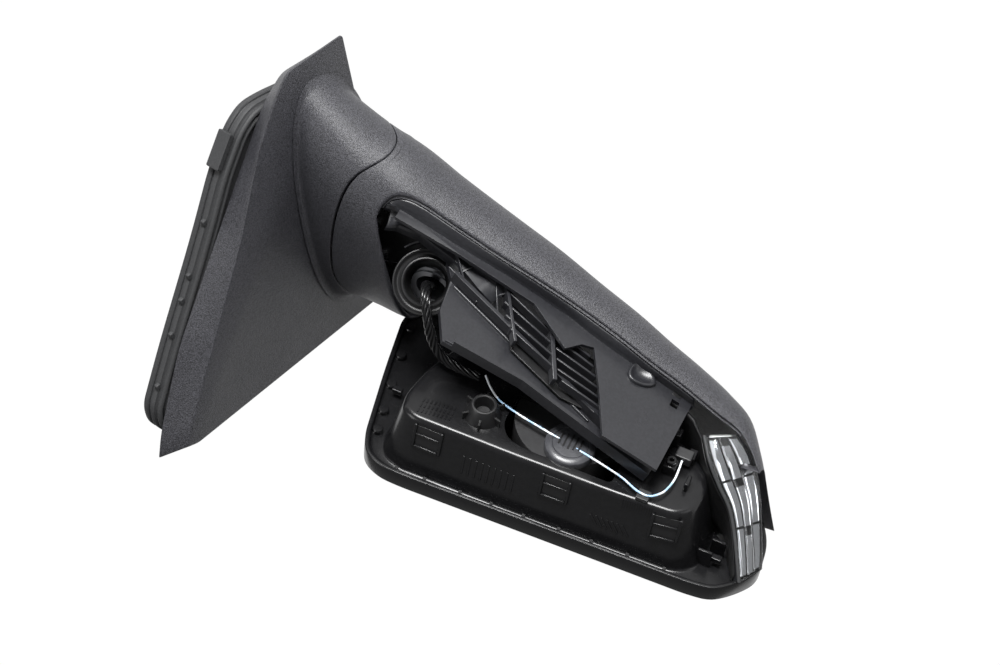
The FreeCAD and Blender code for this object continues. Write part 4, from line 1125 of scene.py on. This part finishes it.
# ---------------------------------------------------------- outer plate detail
m = Mesh()
c0 = fp(188.5, 21.5, C_P) + NF * 0.02
ring_r = []
for fr_, dep in ((1.0, 0.0), (0.93, 0.35), (0.84, 0.5), (0.74, 0.2), (0.6, -0.35), (0.42, -0.9), (0.2, -1.25), (0.04, -1.35)):
    loop = []
    for k in range(48):
        a = 2 * math.pi * k / 48
        rx = 7.0 * (1.0 + 0.28 * math.cos(a)) * math.cos(a)
        rz = 5.4 * math.sin(a)
        loop.append(c0 + TF * rx * fr_ + ZV * rz * fr_ + NF * (dep + 1.35))
    ring_r.append(loop)
base_loop = [p - NF * 1.6 for p in ring_r[0]]
m.skin([base_loop] + ring_r, True, True, True)
build("plate_dimple", m, "inner_panel", mat="satin", smooth=60.0)
# dark square patch laid on the outer plate: painted shade standing in for the square hole
m = Mesh()
m.box(fp(206.0, 18.8, C_P) + NF * 0.12, TF, NF, ZV, 4.4, 0.5, 4.4)
build("plate_hole_painted_shade", m, "inner_panel", mat="dark", smooth=30.0, bev=0.15)

# --------------------------------------------------------------- foot seal
G_OUT = [(74.0, -48.0), (76.5, -24.0), (80.0, -12.0), (82.0, 0.5), (76.5, 11.5), (60.5, 26.5), (32.0, 47.0), (-12.0, 81.5),
         (-38.0, 100.5), (-50.0, 101.0), (-60.0, 94.0), (-61.5, -45.0)]
GR = [7.0, 9.0, 9.0, 9.0, 10.0, 9.0, 20.0, 20.0, 8.0, 7.0, 8.0, 7.0]
gl = []
for d, n in ((4.0, -9.6), (0.6, -9.6), (0.15, -9.4), (0.0, -9.0), (0.0, -7.2), (0.5, -6.6), (1.3, -6.4), (1.6, -5.9), (1.3, -5.4),
             (0.5, -5.2), (0.0, -4.6), (0.0, -2.8), (0.3, -2.2), (1.2, -1.9), (1.6, -1.5), (1.6, -0.9), (1.0, -0.5), (0.4, 0.1),
             (0.2, 0.8), (0.5, 1.6), (1.1, 2.05), (1.9, 2.1), (2.5, 1.7), (2.8, 1.0), (3.1, 0.4), (3.7, 0.3), (4.0, 0.8), (4.1, 1.6),
             (4.6, 2.0), (5.4, 2.0), (5.9, 1.5), (6.0, 0.6), (9.0, 0.5), (12.0, 0.5), (12.2, -0.6)):
    gl.append([bp(y, u, n) for y, u in round_poly(inset(G_OUT, d), [max(1.0, r - d) for r in GR], 10)])
m = Mesh()
m.skin(gl)
build("base_gasket_lips", m, "base_gasket", mat="rubber", smooth=36.0, replaces=("base_gasket",))
m = Mesh()
for y, u in ((68.0, 19.4), (40.0, 41.5), (18.0, 58.0), (8.0, 66.0), (-6.0, 77.0), (-28.0, 93.0)):
    m.box(bp(y, u, -3.0), Vector((0, 0.8, 0)).normalized() * 1.0, U, N, 3.6, 2.6, 2.2)
build("gasket_nubs", m, "base_gasket", mat="rubber", smooth=35.0, bev=0.5)

# welds and bevels on the remaining CAD nodes
for nm, w in (("carrier", 0.7), ("inner_panel", 0.6), ("fold_gearbox", 0.8), ("lamp_housing", 0.4),
              ("lamp_connector", 0.6), ("actuator_housing", 0.6), ("actuator_cover", 0.4), ("base_bracket", 0.7),
              ("gasket_clip", 0.6), ("cable_grommet", 0.5), ("cap_clips", 0.4), ("wire_clip", 0.35), ("glass_carrier", 0.3),
              ("mirror_glass", 0.3), ("base_screws", 0.2), ("gearbox_screws", 0.25),
              ("actuator_screws", 0.25), ("fold_motor", 0.4), ("adjuster_motors", 0.5)):
    ob = frame["nodes"][nm]
    wm = ob.modifiers.new("join", "WELD")
    wm.merge_threshold = 0.00001
    bevel(ob, w, 3, 28.0)



# ------------------------------------------------------------- camera, stage
cam_r = Vector((0.9074, -0.1522, -0.3922)).normalized()
cam_dn = Vector((0.1867, -0.6891, 0.7004))
cam_dn = (cam_dn - cam_r * cam_r.dot(cam_dn)).normalized()
cam_d = cam_r.cross(-cam_dn).normalized()
P0 = Vector((123.3, -7.8, 26.9))
cam_data = bpy.data.cameras.new("camera")
cam_data.sensor_width = 36.0
cam_data.sensor_fit = "HORIZONTAL"
cam_data.lens = 36.0 * 2.15 * 1400.0 / 1000.0
cam_data.clip_start = 0.05
cam_data.clip_end = 50.0
cam = bpy.data.objects.new("camera", cam_data)
bpy.context.scene.collection.objects.link(cam)
up = -cam_dn
cam.matrix_world = Matrix((
    (cam_r.x, up.x, cam_d.x, 0), (cam_r.y, up.y, cam_d.y, 0), (cam_r.z, up.z, cam_d.z, 0), (0, 0, 0, 1)))
cam.location = (P0 + SHIFT + cam_d * 1400.0) / 1000.0
bpy.context.scene.camera = cam
bpy.context.scene.view_settings.view_transform = "Standard"
bpy.context.scene.view_settings.look = "None"

world = bpy.data.worlds.new("studio")
bpy.context.scene.world = world
world.use_nodes = True
bg = world.node_tree.nodes["Background"]
bg.inputs["Color"].default_value = (1, 1, 1, 1)
bg.inputs["Strength"].default_value = 0.26

# pale floor, evenly lit
fme = bpy.data.meshes.new("floor")
zf = CAD_LO.z - 0.012
fme.from_pydata([(-9, -9, zf), (9, -9, zf), (9, 9, zf), (-9, 9, zf)], [], [(0, 1, 2, 3)])
floor = bpy.data.objects.new("floor", fme)
bpy.context.scene.collection.objects.link(floor)
fm = bpy.data.materials.new("pale_floor")
fm.use_nodes = True
fnt = fm.node_tree
fb = fnt.nodes["Principled BSDF"]
fb.inputs["Base Color"].default_value = (0.02, 0.02, 0.02, 1)
fb.inputs["Roughness"].default_value = 1.0
fb.inputs["Specular IOR Level"].default_value = 0.0
fb.inputs["Emission Color"].default_value = (1, 1, 1, 1)
fb.inputs["Emission Strength"].default_value = 1.0
fme.materials.append(fm)


def area(name, pos, target, size, power, size_y=None):
    l = bpy.data.lights.new(name, "AREA")
    l.energy = power
    l.size = size
    if size_y:
        l.shape = "RECTANGLE"
        l.size_y = size_y
    o = bpy.data.objects.new(name, l)
    bpy.context.scene.collection.objects.link(o)
    o.location = pos
    o.rotation_mode = "QUATERNION"
    o.rotation_quaternion = (Vector(target) - Vector(pos)).to_track_quat("-Z", "Y")
    return o


C = (P0 + SHIFT) / 1000.0
# picture "up" is forward and down in the object's frame: -cam_dn
area("key_top", C + up * 0.84 + cam_d * 0.95, C, 0.7, 58.0)
area("side_left", C - cam_r * 1.15 + cam_d * 0.75 - up * 0.2, C, 0.6, 5.0)
area("side_right", C + cam_r * 1.0 + cam_d * 1.1, C, 0.5, 1.5)
